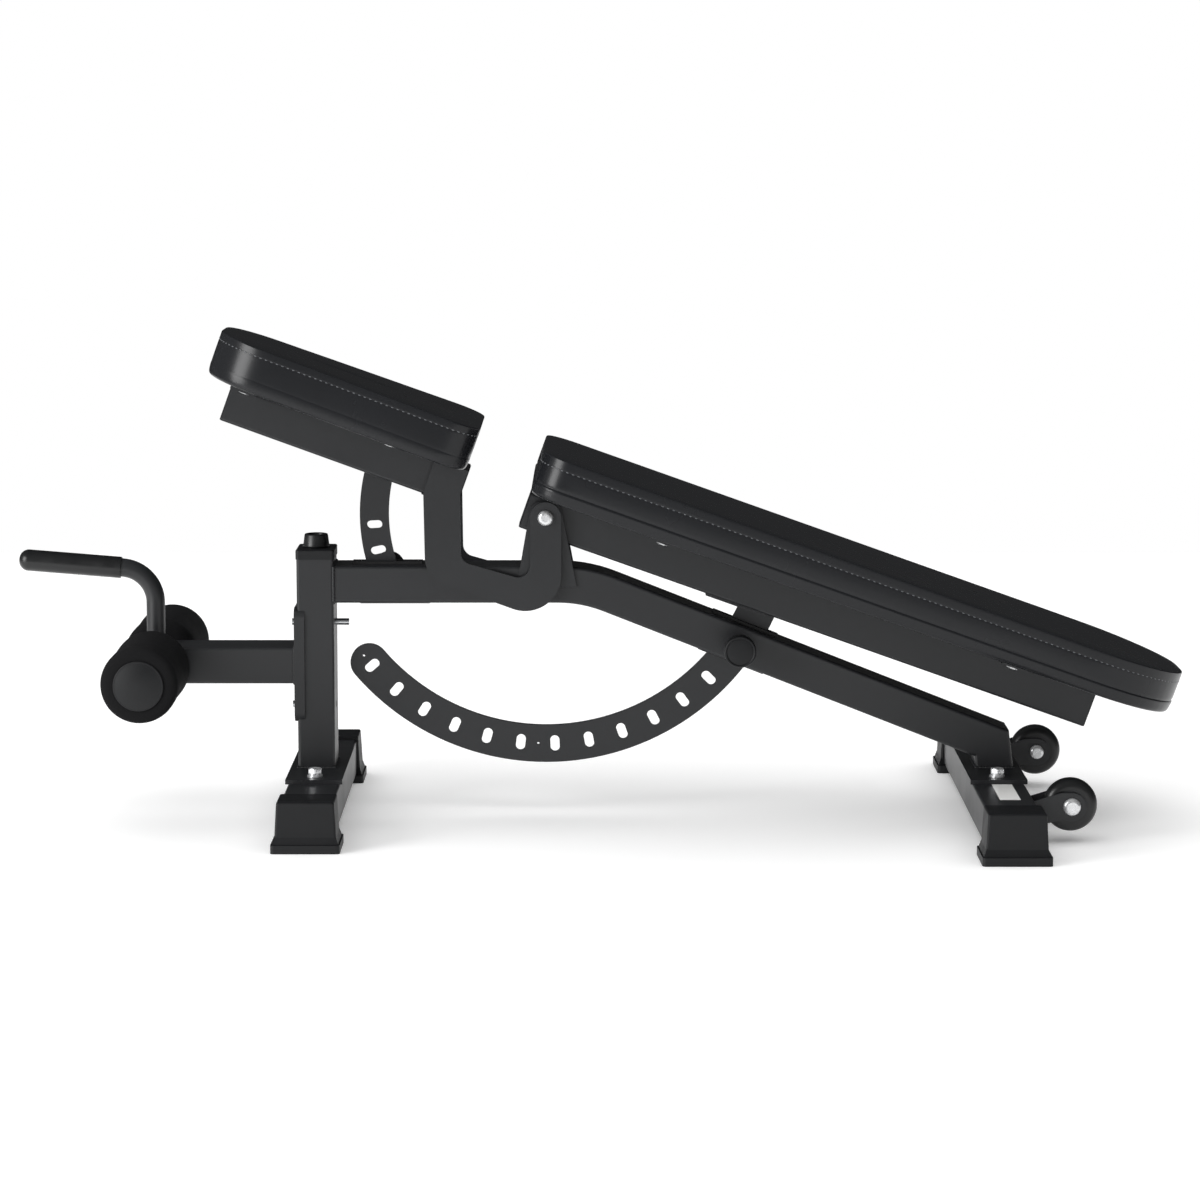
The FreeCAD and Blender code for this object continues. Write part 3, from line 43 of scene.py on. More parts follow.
# The pivot and the two tilts, as the CAD sets them, and the roller tube's centre (x, z) in millimetres.
PIVOT = Vector((-73, 0, 408.7)) * MM
SEAT_TILT = 20
BACK_TILT = 19.6
ROLLER_CENTRE = (-602, 207)

# Upholstery, in millimetres: the top panel's rim and crown, the board's recess, the sewn line and
# the swell of the foam.
RIM_INSET = 3.6
RIM_RISE = 0.25
CROWN = 0.8
BOARD_SINK = 12.2
STITCH_PITCH = 7.8
STITCH_LENGTH = 3.8
STITCH_SUNK = 0.55
THREAD_RADIUS = 0.85
MOST_SWELL = 1
FOAM_FRAMES = 20
BEAD_RADIUS = 2.3


# ------------------------------------------------------------------ materials

def srgb(text):
    """A hex colour as linear values."""
    parts = [int(text[at:at + 2], 16) / 255 for at in (1, 3, 5)]
    return [part / 12.92 if part <= 0.04045 else ((part + 0.055) / 1.055) ** 2.4 for part in parts] + [1.0]


def add(tree, kind, settings=None, **links):
    """Add one node; settings are its properties or socket values, links its incoming sockets."""
    node = tree.nodes.new(kind)
    for name, value in (settings or {}).items():
        if hasattr(node, name):
            setattr(node, name, value)
        else:
            node.inputs[name].default_value = value
    for name, source in links.items():
        tree.links.new(source, node.inputs[name.replace("_", " ")])
    return node


def start_material(name, colour, roughness, **sockets):
    """A Principled material with its fixed values on the shader's own sockets."""
    made = bpy.data.materials.new(name)
    made.use_nodes = True
    tree = made.node_tree
    shader = tree.nodes["Principled BSDF"]
    shader.inputs["Base Color"].default_value = srgb(colour)
    shader.inputs["Roughness"].default_value = roughness
    for key, value in sockets.items():
        shader.inputs[key.replace("_", " ")].default_value = value
    place = add(tree, "ShaderNodeTexCoord").outputs["Object"]
    return made, tree, shader, place


def between(tree, shader, factor, dark, light):
    """Let the base colour run between two hex colours; the mix node's colour sockets have only numbers."""
    colour = add(tree, "ShaderNodeMix", {"data_type": "RGBA"})
    tree.links.new(factor, colour.inputs["Factor"])
    colour.inputs[6].default_value = srgb(dark)
    colour.inputs[7].default_value = srgb(light)
    tree.links.new(colour.outputs[2], shader.inputs["Base Color"])


def vary(tree, shader, place, scale, dark, light, rough_low, rough_high):
    """Slow cloudy change of colour and roughness, as handling and casting leave."""
    cloud = add(tree, "ShaderNodeTexNoise", {"Scale": scale, "Detail": 4.0, "Roughness": 0.55},
                Vector=place)
    between(tree, shader, cloud.outputs["Fac"], dark, light)
    spread = add(tree, "ShaderNodeMapRange", {"From Min": 0.3, "From Max": 0.7, "To Min": rough_low,
                                              "To Max": rough_high}, Value=cloud.outputs["Fac"])
    tree.links.new(spread.outputs["Result"], shader.inputs["Roughness"])


def bump(tree, shader, height, distance, strength=1.0, below=None):
    """Relief of a real depth in millimetres."""
    relief = add(tree, "ShaderNodeBump", {"Strength": strength, "Distance": distance * MM}, Height=height)
    if below:
        tree.links.new(below.outputs["Normal"], relief.inputs["Normal"])
    tree.links.new(relief.outputs["Normal"], shader.inputs["Normal"])
    return relief


def powder_coat():
    """Sprayed and baked polyester powder on steel: satin, with a 2 mm orange-peel ripple."""
    made, tree, shader, place = start_material("black_powder_coat", "#1E1F21", 0.42, IOR=1.5)
    vary(tree, shader, place, 14, "#1E1F21", "#252628", 0.38, 0.44)
    peel = add(tree, "ShaderNodeTexNoise", {"Scale": 450.0, "Detail": 2.0}, Vector=place)
    soft = bump(tree, shader, peel.outputs["Fac"], 0.03, 0.4)
    grit = add(tree, "ShaderNodeTexNoise", {"Scale": 1600.0, "Detail": 1.0}, Vector=place)
    bump(tree, shader, grit.outputs["Fac"], 0.01, 0.3, soft)
    return made


def vinyl():
    """Expanded vinyl upholstery cloth: pebbled hide grain about 1.2 mm across, soft sheen."""
    made, tree, shader, place = start_material("black_vinyl_upholstery", "#151618", 0.28, IOR=1.5,
                                               Specular_IOR_Level=0.32)
    vary(tree, shader, place, 9, "#1A1B1D", "#1E1F22", 0.26, 0.28)
    pebble = add(tree, "ShaderNodeTexVoronoi", {"feature": "DISTANCE_TO_EDGE", "Scale": 820.0,
                                                "Randomness": 0.9}, Vector=place)
    crease = add(tree, "ShaderNodeMapRange", {"From Min": 0.0, "From Max": 0.18},
                 Value=pebble.outputs["Distance"])
    bump(tree, shader, crease.outputs["Result"], 0.02, 0.1)
    return made


def sewing_thread():
    """Twisted bonded polyester thread, a shade lighter than the vinyl."""
    made, tree, shader, place = start_material("charcoal_sewing_thread", "#5A5C60", 0.45, Sheen_Weight=0.3)
    twist = add(tree, "ShaderNodeTexWave", {"Scale": 900.0, "Distortion": 1.0,
                                            "bands_direction": "DIAGONAL"}, Vector=place)
    bump(tree, shader, twist.outputs["Fac"], 0.12)
    vary(tree, shader, place, 300, "#4E5054", "#66686C", 0.4, 0.55)
    return made


def roller_foam():
    """Closed-cell nitrile foam sleeve: matt skin with fine open pores."""
    made, tree, shader, place = start_material("black_nitrile_foam", "#161617", 0.9,
                                               Specular_IOR_Level=0.12)
    vary(tree, shader, place, 40, "#141415", "#1A1A1B", 0.84, 0.96)
    pore = add(tree, "ShaderNodeTexVoronoi", {"Scale": 650.0}, Vector=place)
    cell = bump(tree, shader, pore.outputs["Distance"], 0.25, 0.6)
    lump = add(tree, "ShaderNodeTexNoise", {"Scale": 160.0, "Detail": 4.0}, Vector=place)
    bump(tree, shader, lump.outputs["Fac"], 0.3, 0.4, cell)
    return made


def zinc_plate():
    """Bright zinc plating on forged steel: silvery, with a slight milky patch here and there."""
    made, tree, shader, place = start_material("bright_zinc_plate", "#ECEDEE", 0.3, Metallic=0.75)
    vary(tree, shader, place, 220, "#DDDFE2", "#F6F6F6", 0.22, 0.4)
    forged = add(tree, "ShaderNodeTexNoise", {"Scale": 900.0, "Detail": 3.0}, Vector=place)
    bump(tree, shader, forged.outputs["Fac"], 0.06, 0.5)
    return made


def polished_pin():
    """Ground and chromed pin steel, with faint marks round the pin."""
    made, tree, shader, place = start_material("ground_pin_steel", "#CFD1D4", 0.2, Metallic=1.0)
    vary(tree, shader, place, 350, "#BFC2C6", "#DDDEE0", 0.14, 0.28)
    return made


def moulded_plastic():
    """Injection-moulded polypropylene: spark-eroded mould grain, half matt."""
    made, tree, shader, place = start_material("black_moulded_polypropylene", "#131416", 0.5,
                                               Specular_IOR_Level=0.34)
    vary(tree, shader, place, 30, "#101113", "#17181A", 0.46, 0.58)
    spark = add(tree, "ShaderNodeTexNoise", {"Scale": 1400.0, "Detail": 2.0}, Vector=place)
    bump(tree, shader, spark.outputs["Fac"], 0.05, 0.6)
    return made


def glass_nylon():
    """Glass-filled nylon of the slot liners and bushes: dull, faintly mottled."""
    made, tree, shader, place = start_material("black_glass_nylon", "#19191B", 0.58)
    vary(tree, shader, place, 120, "#161618", "#1F1F21", 0.5, 0.66)
    return made


def grip_rubber():
    """Dipped soft rubber of the grip, the bumper and the tyres: a skin with a soft shine."""
    made, tree, shader, place = start_material("black_soft_rubber", "#111213", 0.34)
    vary(tree, shader, place, 60, "#0F1011", "#151617", 0.28, 0.42)
    skin = add(tree, "ShaderNodeTexNoise", {"Scale": 1100.0, "Detail": 3.0}, Vector=place)
    bump(tree, shader, skin.outputs["Fac"], 0.03, 0.4)
    return made


def wheel_core():
    """Moulded wheel centre, a shade greyer than its tyre."""
    made, tree, shader, place = start_material("grey_black_wheel_core", "#232426", 0.45)
    vary(tree, shader, place, 90, "#202123", "#2A2B2D", 0.38, 0.52)
    return made


def label_film():
    """Self-adhesive vinyl film, unprinted white, with a slight satin shine."""
    made, tree, shader, place = start_material("plain_white_label_film", "#F2F2F0", 0.4)
    vary(tree, shader, place, 25, "#EDEDEA", "#F7F7F5", 0.34, 0.46)
    return made


def stained_plywood():
    """Poplar plywood sprayed black: 2 mm open grain runs along the board."""
    made, tree, shader, place = start_material("black_stained_plywood", "#26231F", 0.7)
    stretch = add(tree, "ShaderNodeMapping", {"Scale": (12.0, 220.0, 220.0)}, Vector=place)
    grain = add(tree, "ShaderNodeTexNoise", {"Scale": 1.0, "Detail": 6.0}, Vector=stretch.outputs["Vector"])
    between(tree, shader, grain.outputs["Fac"], "#171513", "#332E28")
    bump(tree, shader, grain.outputs["Fac"], 0.3, 0.5)
    return made


COAT = powder_coat()
VINYL = vinyl()
THREAD = sewing_thread()
FOAM = roller_foam()
ZINC = zinc_plate()
PIN = polished_pin()
PLASTIC = moulded_plastic()
NYLON = glass_nylon()
RUBBER = grip_rubber()
CORE = wheel_core()
PLYWOOD = stained_plywood()
LABEL = label_film()

FINISHES = {
    COAT: ("front_foot", "rear_foot", "front_base_plate", "rear_base_plate", "front_post", "main_beam",
           "rear_leg", "hinge_plates", "pin_housings", "wheel_forks", "seat_tube", "seat_arms",
           "seat_ladder", "seat_cross_bars", "back_tube", "back_pivot_sleeve", "back_ladder",
           "back_ladder_plate", "back_cross_bars", "holder_bracket", "holder_arm", "roller_tube",
           "roller_stops", "handle_tube"),
    ZINC: ("base_weld_nuts", "pivot_bolt", "pivot_nut", "wheel_axles", "wheel_nuts", "base_washers",
           "base_bolts", "seat_pad_bolts", "back_pad_bolts"),
    PIN: ("pin_springs", "back_pin", "seat_pin", "hitch_pins"),
    PLASTIC: ("foot_boots", "post_cap", "seat_tube_caps", "back_tube_caps", "roller_end_caps",
              "back_knob", "seat_knob"),
    NYLON: ("seat_slot_guides", "back_slot_guides", "pivot_bushes"),
    RUBBER: ("seat_bumper", "handle_grip", "tyre_left", "tyre_right"),
    CORE: ("wheel_hub_left", "wheel_hub_right"),
    PLYWOOD: ("seat_board", "back_board"),
    LABEL: ("blank_label",),
}
for finish, nodes in FINISHES.items():
    for node in nodes:
        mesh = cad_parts[node].data
        mesh.materials.clear()
        mesh.materials.append(finish)


# ------------------------------------------------------------------ making pieces

def new_piece(name, mesh, material):
    piece = bpy.data.objects.new(name, mesh)
    scene.collection.objects.link(piece)
    mesh.materials.clear()
    mesh.materials.append(material)
    return piece


def shell(name, rings, material, closed_ends=True):
    """A closed skin through rings of equal length, with its first and last rings filled."""
    made = bmesh.new()
    rows = [[made.verts.new(point) for point in ring] for ring in rings]
    count = len(rows[0])
    for low, high in zip(rows, rows[1:]):
        for at in range(count):
            beside = (at + 1) % count
            made.faces.new((low[at], low[beside], high[beside], high[at]))
    if closed_ends:
        made.faces.new(rows[0])
        made.faces.new(rows[-1])
    bmesh.ops.recalc_face_normals(made, faces=made.faces)
    mesh = bpy.data.meshes.new(name)
    made.to_mesh(mesh)
    made.free()
    mesh.shade_smooth()
    return new_piece(name, mesh, material)


def close_up(piece, distance):
    """Join the points that lie together, and turn every face outwards."""
    tidy = bmesh.new()
    tidy.from_mesh(piece.data)
    bmesh.ops.remove_doubles(tidy, verts=tidy.verts, dist=distance)
    bmesh.ops.dissolve_degenerate(tidy, edges=tidy.edges, dist=distance / 2)
    bmesh.ops.recalc_face_normals(tidy, faces=tidy.faces)
    tidy.to_mesh(piece.data)
    tidy.free()


def apply_modifiers(piece):
    """Turn a piece and its modifiers into a plain mesh."""
    depsgraph = bpy.context.evaluated_depsgraph_get()
    mesh = bpy.data.meshes.new_from_object(piece.evaluated_get(depsgraph), depsgraph=depsgraph)
    piece.modifiers.clear()
    piece.data = mesh
    return piece


def to_row(tilt):
    """From a level pad's own frame to the row frame."""
    turn = Matrix.Rotation(math.radians(tilt), 4, "Y")
    return Matrix.Translation(PIVOT) @ turn


# ------------------------------------------------------------------ upholstered pads

def plan_outline(corners, rounds, step):
    """Rounded plan outline as evenly spaced points with their outward normals, in millimetres."""
    count = len(corners)
    track = []
    for at in range(count):
        before = Vector(corners[at - 1])
        here = Vector(corners[at])
        after = Vector(corners[(at + 1) % count])
        into = (before - here).normalized()
        out = (after - here).normalized()
        half = math.acos(max(-1, min(1, into.dot(out)))) / 2
        reach = rounds[at] / math.tan(half)
        centre = here + (into + out).normalized() * (rounds[at] / math.sin(half))
        first = here + into * reach - centre
        last = here + out * reach - centre
        sweep = first.angle_signed(last)
        for part in range(13):
            turn = Matrix.Rotation(-sweep * part / 12, 2)
            track.append(centre + turn @ first)
    ahead = track[1:] + track[:1]
    lengths = [(after - here).length for here, after in zip(track, ahead)]
    total = sum(lengths)
    number = round(total / step)
    points = []
    run = 0.0
    at = 0
    for part in range(number):
        goal = total * part / number
        while run + lengths[at] < goal:
            run += lengths[at]
            at += 1
        share = (goal - run) / lengths[at]
        points.append(track[at].lerp(ahead[at], share))
    normals = []
    for at in range(number):
        along = points[(at + 1) % number] - points[at - 1]
        normals.append(Vector((along.y, -along.x)).normalized())
    beyond = points[1:] + points[:1]
    area = sum(here.x * after.y - after.x * here.y for here, after in zip(points, beyond))
    if area < 0:
        normals = [-normal for normal in normals]
    return points, normals


def ring_at(points, normals, inset, height):
    """One ring of the cover, drawn in from the outline."""
    return [Vector((point.x - normal.x * inset, point.y - normal.y * inset, height))
            for point, normal in zip(points, normals)]


def cover_profile(low, top, sewn, crease, tuck):
    """(inset, height) down the cover's side, from the top panel's rim to the board, in millimetres.

    The top panel turns over a tight edge, the band is sewn once below it, and near the bottom it is
    folded: a crease whose lower lip stands out by tuck, from which it is pulled under the board.
    """
    seam = top - sewn
    fold = top - crease
    return [(RIM_INSET, top + RIM_RISE), (1.7, top + 0.12), (0.6, top - 0.25), (0.12, top - 0.9),
            (0.0, top - 1.9), (0.0, top - 5), (0.0, seam + 1.8), (0.08, seam + 0.9), (0.3, seam),
            (0.1, seam - 0.9), (0.0, seam - 1.8), (0.0, seam - 8), (0.0, (seam + fold) / 2),
            (0.0, fold + 7), (0.05, fold + 3), (0.05 + tuck / 3, fold + 1.2),
            (0.05 + tuck / 2, fold + 0.4), (0.05, fold - 0.5), (-0.3 * tuck, fold - 1.6),
            (-0.2 * tuck, fold - 3.5), (0.1, fold - 6), (0.7, low + 5), (1.8, low + 2.2),
            (3.3, low + 0.7), (5.0, low + 0.1), (7.2, low), (10, low), (13.3, low),
            (13.3, low + BOARD_SINK)]


def pad_cover(name, body, node, corners, rounds, low, top, tilt, spine, sewn, crease, tuck):
    """Stretched vinyl cover over foam.

    spine is the stretch of centre line that the rings of the top panel and of the underside shrink onto.
    """
    points, normals = plan_outline(corners, rounds, STITCH_PITCH)
    rings = []
    inner = ring_at(points, normals, RIM_INSET, top + RIM_RISE)
    steps = 12
    for part in range(steps, 0, -1):
        share = (part / steps) ** 1.1
        ring = []
        for point in inner:
            goal = Vector((max(spine[0], min(spine[1], point.x)), 0, point.z))
            risen = point.lerp(goal, share)
            risen.z += CROWN * (1 - (1 - share) ** 2)
            ring.append(risen)
        rings.append(ring)
    for inset, height in cover_profile(low, top, sewn, crease, tuck):
        rings.append(ring_at(points, normals, inset, height))
    under = rings[-1]
    for share in (0.5, 1.0):
        ring = []
        for point in under:
            goal = Vector((max(spine[0], min(spine[1], point.x)), 0, low + BOARD_SINK))
            ring.append(point.lerp(goal, share))
        rings.append(ring)
    made = shell(name, [[point * MM for point in ring] for ring in rings], VINYL, closed_ends=False)
    close_up(made, 0.2 * MM)
    fill_out(made, low, top, sewn, crease)
    made.modifiers.new("smooth", "SUBSURF")
    made.modifiers["smooth"].levels = 1
    made.modifiers["smooth"].render_levels = 1
    apply_modifiers(made)
    made.data.transform(to_row(tilt))
    made.data.shade_smooth()
    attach(made, body)
    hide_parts(node)
    stitch_row(name + "_stitches", body, points, normals, top - sewn, tilt)


def fill_out(piece, low, top, sewn, crease):
    """Let foam pressure swell the panels between their seams, by at most MOST_SWELL."""
    mesh = piece.data
    rest = [vertex.co.copy() for vertex in mesh.vertices]
    held = piece.vertex_groups.new(name="sewn")
    seams = (top - sewn, top - crease)
    for vertex in mesh.vertices:
        height = vertex.co.z / MM
        at_seam = min(abs(height - seam) for seam in seams) < 1.6
        at_edge = top - 2.6 < height < top + 0.3
        if at_seam or at_edge or height < low + 5:
            held.add([vertex.index], 1.0, "REPLACE")
    cloth = piece.modifiers.new("foam", "CLOTH")
    settings = cloth.settings
    settings.use_pressure = True
    settings.uniform_pressure_force = 4
    settings.effector_weights.gravity = 0
    settings.vertex_group_mass = "sewn"
    settings.tension_stiffness = 40
    settings.compression_stiffness = 40
    settings.bending_stiffness = 8
    cloth.point_cache.frame_start = 1
    cloth.point_cache.frame_end = FOAM_FRAMES
    for step in range(1, FOAM_FRAMES + 1):
        scene.frame_set(step)
    apply_modifiers(piece)
    for vertex, start in zip(piece.data.vertices, rest):
        move = vertex.co - start
        if move.length > MOST_SWELL * MM:
            vertex.co = start + move.normalized() * MOST_SWELL * MM
    scene.frame_set(1)


def curve_tree(name, sizes):
    """A Geometry Nodes tree with named sizes as its inputs, the first of them a spacing along its curve."""
    tree = bpy.data.node_groups.new(name, "GeometryNodeTree")
    face = tree.interface
    face.new_socket("Geometry", in_out="INPUT", socket_type="NodeSocketGeometry")
    for label, value in sizes:
        socket = face.new_socket(label, in_out="INPUT", socket_type="NodeSocketFloat")
        socket.default_value = value * MM
    face.new_socket("Geometry", in_out="OUTPUT", socket_type="NodeSocketGeometry")
    given = add(tree, "NodeGroupInput")
    spaced = add(tree, "GeometryNodeResampleCurve", {"mode": "LENGTH"}, Curve=given.outputs["Geometry"],
                 Length=given.outputs[sizes[0][0]])
    return tree, given, spaced


def lay_along(tree, spaced, ball, scale, material):
    """Set a ball on every point of the spaced curve, in line with it, and give out one real mesh."""
    tangent = add(tree, "GeometryNodeInputTangent")
    aim = add(tree, "FunctionNodeAlignRotationToVector", {"axis": "Z"}, Vector=tangent.outputs["Tangent"])
    row = add(tree, "GeometryNodeInstanceOnPoints", None, Points=spaced.outputs["Curve"],
              Instance=ball.outputs["Mesh"], Rotation=aim.outputs["Rotation"], Scale=scale)
    real = add(tree, "GeometryNodeRealizeInstances", None, Geometry=row.outputs["Instances"])
    painted = add(tree, "GeometryNodeSetMaterial", {"Material": material},
                  Geometry=real.outputs["Geometry"])
    add(tree, "NodeGroupOutput", None, Geometry=painted.outputs["Geometry"])


def stitch_tree(material):
    """Geometry Nodes: stitches of a named length and thickness, spaced along a curve."""
    tree, given, spaced = curve_tree("sewn_line", [
        ("Pitch", STITCH_PITCH), ("Stitch Length", STITCH_LENGTH), ("Thread Radius", THREAD_RADIUS)])
    ball = add(tree, "GeometryNodeMeshUVSphere", {"Segments": 8, "Rings": 6},
               Radius=given.outputs["Thread Radius"])
    slender = add(tree, "ShaderNodeMath", {"operation": "DIVIDE"})
    tree.links.new(given.outputs["Stitch Length"], slender.inputs[0])
    tree.links.new(given.outputs["Thread Radius"], slender.inputs[1])
    half = add(tree, "ShaderNodeMath", {"operation": "MULTIPLY"})
    tree.links.new(slender.outputs[0], half.inputs[0])
    half.inputs[1].default_value = 0.5
    stretch = add(tree, "ShaderNodeCombineXYZ", {"X": 1.0, "Y": 1.0}, Z=half.outputs[0])
    lay_along(tree, spaced, ball, stretch.outputs["Vector"], material)
    return tree


def along_curve(name, tree, lines, cyclic, sizes, material):
    """Run a Geometry Nodes tree over lines of points and keep the result as a plain mesh."""
    curve = bpy.data.curves.new(name, "CURVE")
    curve.dimensions = "3D"
    for line in lines:
        spline = curve.splines.new("POLY")
        spline.points.add(len(line) - 1)
        for target, point in zip(spline.points, line):
            target.co = (*point, 1)
        spline.use_cyclic_u = cyclic
    holder = bpy.data.objects.new(name, curve)
    scene.collection.objects.link(holder)
    runner = holder.modifiers.new("made", "NODES")
    runner.node_group = tree
    for item in tree.interface.items_tree:
        if item.in_out == "INPUT" and item.name in sizes:
            runner[item.identifier] = sizes[item.name]
    depsgraph = bpy.context.evaluated_depsgraph_get()
    mesh = bpy.data.meshes.new_from_object(holder.evaluated_get(depsgraph), depsgraph=depsgraph)
    bpy.data.objects.remove(holder)
    piece = new_piece(name, mesh, material)
    mesh.shade_smooth()
    return piece


def stitch_row(name, body, points, normals, height, tilt):
    """The sewn line round a pad, its thread lying in the seam."""
    place = to_row(tilt)
    line = [place @ (point * MM) for point in ring_at(points, normals, STITCH_SUNK, height)]
    row = along_curve(name, SEWN_LINE, [line], True, {}, THREAD)
    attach(row, body)


# ------------------------------------------------------------------ welds

def weld_tree(material):
    """Geometry Nodes: overlapping ripples of a weld bead along a curve."""
    tree, given, spaced = curve_tree("weld_bead", [("Ripple Pitch", 1.5), ("Bead Radius", BEAD_RADIUS)])
    ripple = add(tree, "GeometryNodeMeshUVSphere", {"Segments": 10, "Rings": 5},
                 Radius=given.outputs["Bead Radius"])
    wobble = add(tree, "FunctionNodeRandomValue", {"data_type": "FLOAT"})
    wobble.inputs[2].default_value = 0.86
    wobble.inputs[3].default_value = 1.08
    wobble.inputs["Seed"].default_value = 7
    lay_along(tree, spaced, ripple, wobble.outputs[1], material)
    return tree


SEWN_LINE = stitch_tree(THREAD)
WELD_BEAD = weld_tree(COAT)


def weld(name, body, lines, radius=BEAD_RADIUS):
    """Weld beads along lines given in millimetres in the row frame."""
    lines = [[Vector(point) * MM for point in line] for line in lines]
    piece = along_curve(name, WELD_BEAD, lines, False, {"Bead Radius": radius * MM}, COAT)
    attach(piece, body)


# ------------------------------------------------------------------ turned pieces

def turned(name, profile, side, centre, material, count):
    """A closed skin of revolution about a line along Y; profile holds (radius, |y|) in millimetres."""
    rings = []
    for radius, out in profile:
        ring = []
        for at in range(count):
            angle = 2 * math.pi * at / count
            ring.append(Vector((centre[0] + radius * math.cos(angle), side * out,
                                centre[1] + radius * math.sin(angle))) * MM)
        rings.append(ring)
    rings.append(rings[0])
    made = shell(name, rings, material, closed_ends=False)
    close_up(made, 0.01 * MM)
    made.data.shade_smooth()
    return made


def foam_sleeve(hand, side):
    """Foam roller: a sleeve that is a little slimmer in the middle, with soft rounded ends."""
    inner, outer = 47, 209
    full, ends = 50.9, 18
    profile = [(12.6, inner + 1.2), (16, inner + 0.5), (22, inner + 0.15), (30, inner), (37, inner + 0.2),
               (42.5, inner + 0.9), (46.2, inner + 2.2), (48.8, inner + 4.4), (50.2, inner + 7.4),
               (50.8, inner + 11.5), (full, inner + ends)]
    for part in range(1, 12):
        out = inner + ends + (outer - inner - 2 * ends) * part / 12
        waist = 0.9 * math.sin(math.pi * part / 12) ** 2
        profile.append((full - waist, out))
    profile += [(radius, inner + outer - out) for radius, out in reversed(profile[:11])]
    name = "foam_sleeve_" + hand
    made = turned(name, profile, side, ROLLER_CENTRE, FOAM, 96)
    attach(made, "foam_" + hand)
    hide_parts("foam_roller_" + hand)


def merged(name, parts, material):
    """One piece from several."""
    joined = bmesh.new()
    for part in parts:
        joined.from_mesh(part.data)
        bpy.data.objects.remove(part)
    mesh = bpy.data.meshes.new(name)
    joined.to_mesh(mesh)
    joined.free()
    mesh.shade_smooth()
    return new_piece(name, mesh, material)


def roller_caps():
    """Moulded caps on the roller tube's ends: a thin rim round a shallow dome."""
    profile = [(0.01, 206), (10.3, 206), (10.3, 209.45), (32.3, 209.45), (32.9, 209.9), (33, 210.6),
               (32.7, 211.3), (31.9, 211.7), (31.2, 211.6), (30.6, 211.7)]
    for part in range(1, 13):
        radius = 30.6 * (1 - part / 12) + 0.01
        profile.append((radius, 211.7 + 4.3 * (1 - (radius / 30.6) ** 2)))
    caps = [turned("cap", profile, side, ROLLER_CENTRE, PLASTIC, 96) for side in (-1, 1)]
    piece = merged("roller_caps", caps, PLASTIC)
    soften(piece, 35)
    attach(piece, "leg_holder")
    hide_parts("roller_end_caps")


def pull_knob(which, side, centre, body):
    """Moulded pull knob: a finger ledge behind, and a raised rim round its face."""
    back = 60.5
    profile = [(0.01, back + 12), (4.05, back + 12), (4.05, back), (13.4, back), (14.3, back + 0.6),
               (14.6, back + 2), (14.6, back + 5), (15.6, back + 6.6), (19.4, back + 8.2), (21, back + 9.6),
               (21.5, back + 11.6), (21.5, back + 23.6), (21.3, back + 25), (20.6, back + 26.2),
               (19.6, back + 26.9), (18.7, back + 26.8), (18.1, back + 26.1), (17.6, back + 25.6),
               (16.9, back + 25.8), (15.8, back + 26.1), (8, back + 26.6), (0.01, back + 26.7)]
    piece = turned(which + "_pull_knob", profile, side, centre, PLASTIC, 80)
    soften(piece, 50)
    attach(piece, body)
    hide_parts(which + "_knob")


def lathe_z(name, profile, place, material, count):
    """A solid of revolution about its own Z, put in place by a matrix; profile in millimetres."""
    rings = []
    for radius, height in profile:
        rings.append([place @ (Vector((radius * math.cos(2 * math.pi * at / count),
                                       radius * math.sin(2 * math.pi * at / count), height)) * MM)
                      for at in range(count)])
    return shell(name, rings, material)


def hex_heads(name, body, node, spots, flats, height, shank_radius, shank_low, material):
    """Hexagon bolts along Z: chamfered head with a dished top, washer face and shank.

    Each level is (radius, height); a radius of None follows the hexagon.
    """
    joined = bmesh.new()
    corner = flats / math.sqrt(3)
    count = 48
    levels = [(flats / 2 - 3.4, height - 0.5), (flats / 2 - 2.6, height), (flats / 2 - 0.3, height),
              (None, height - 1.3), (None, 0.6), (flats / 2 - 0.2, 0.5), (flats / 2 - 0.2, 0),
              (shank_radius, 0), (shank_radius, shank_low + 0.8), (shank_radius - 0.8, shank_low)]
    for spot in spots:
        rows = []
        for radius, level in levels:
            row = []
            for at in range(count):
                angle = 2 * math.pi * at / count
                if radius is None:
                    fold = (angle + math.pi / 6) % (math.pi / 3) - math.pi / 6
                    reach = min(flats / 2 / math.cos(fold), corner - 0.25)
                else:
                    reach = radius
                row.append(joined.verts.new(Vector((spot[0] + reach * math.cos(angle),
                                                    spot[1] + reach * math.sin(angle),
                                                    spot[2] + level)) * MM))
            rows.append(row)
        for low, high in zip(rows, rows[1:]):
            for at in range(count):
                beside = (at + 1) % count
                joined.faces.new((low[at], low[beside], high[beside], high[at]))
        joined.faces.new(rows[0])
        joined.faces.new(rows[-1])
    bmesh.ops.recalc_face_normals(joined, faces=joined.faces)
    mesh = bpy.data.meshes.new(name)
    joined.to_mesh(mesh)
    joined.free()
    piece = new_piece(name, mesh, material)
    soften(piece, 30)
    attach(piece, body)
    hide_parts(node)


def soften(piece, degrees):
    """Smooth shading with crisp edges above an angle."""
    piece.data.shade_smooth()
    piece.data.set_sharp_from_angle(angle=math.radians(degrees))


# ------------------------------------------------------------------ build

pad_cover("seat_cover", "seat", "seat_cushion",
          [(-491, -96), (-122, -134), (-122, 134), (-491, 96)], [78, 40, 40, 78], 28, 88, SEAT_TILT,
          (-410, -200), 10.8, 43, 0.35)
pad_cover("back_cover", "backrest", "back_cushion",
          [(-33, -150), (880, -150), (880, 150), (-33, 150)], [45, 128, 128, 45], 33, 91, BACK_TILT,
          (60, 750), 13.4, 41, 2.0)
for hand, side in (("left", -1), ("right", 1)):
    foam_sleeve(hand, side)

roller_caps()
pull_knob("back", -1, (187.32, 233.11), "back_pull_pin")
pull_knob("seat", 1, (-289.6, 326.42), "seat_pull_pin")

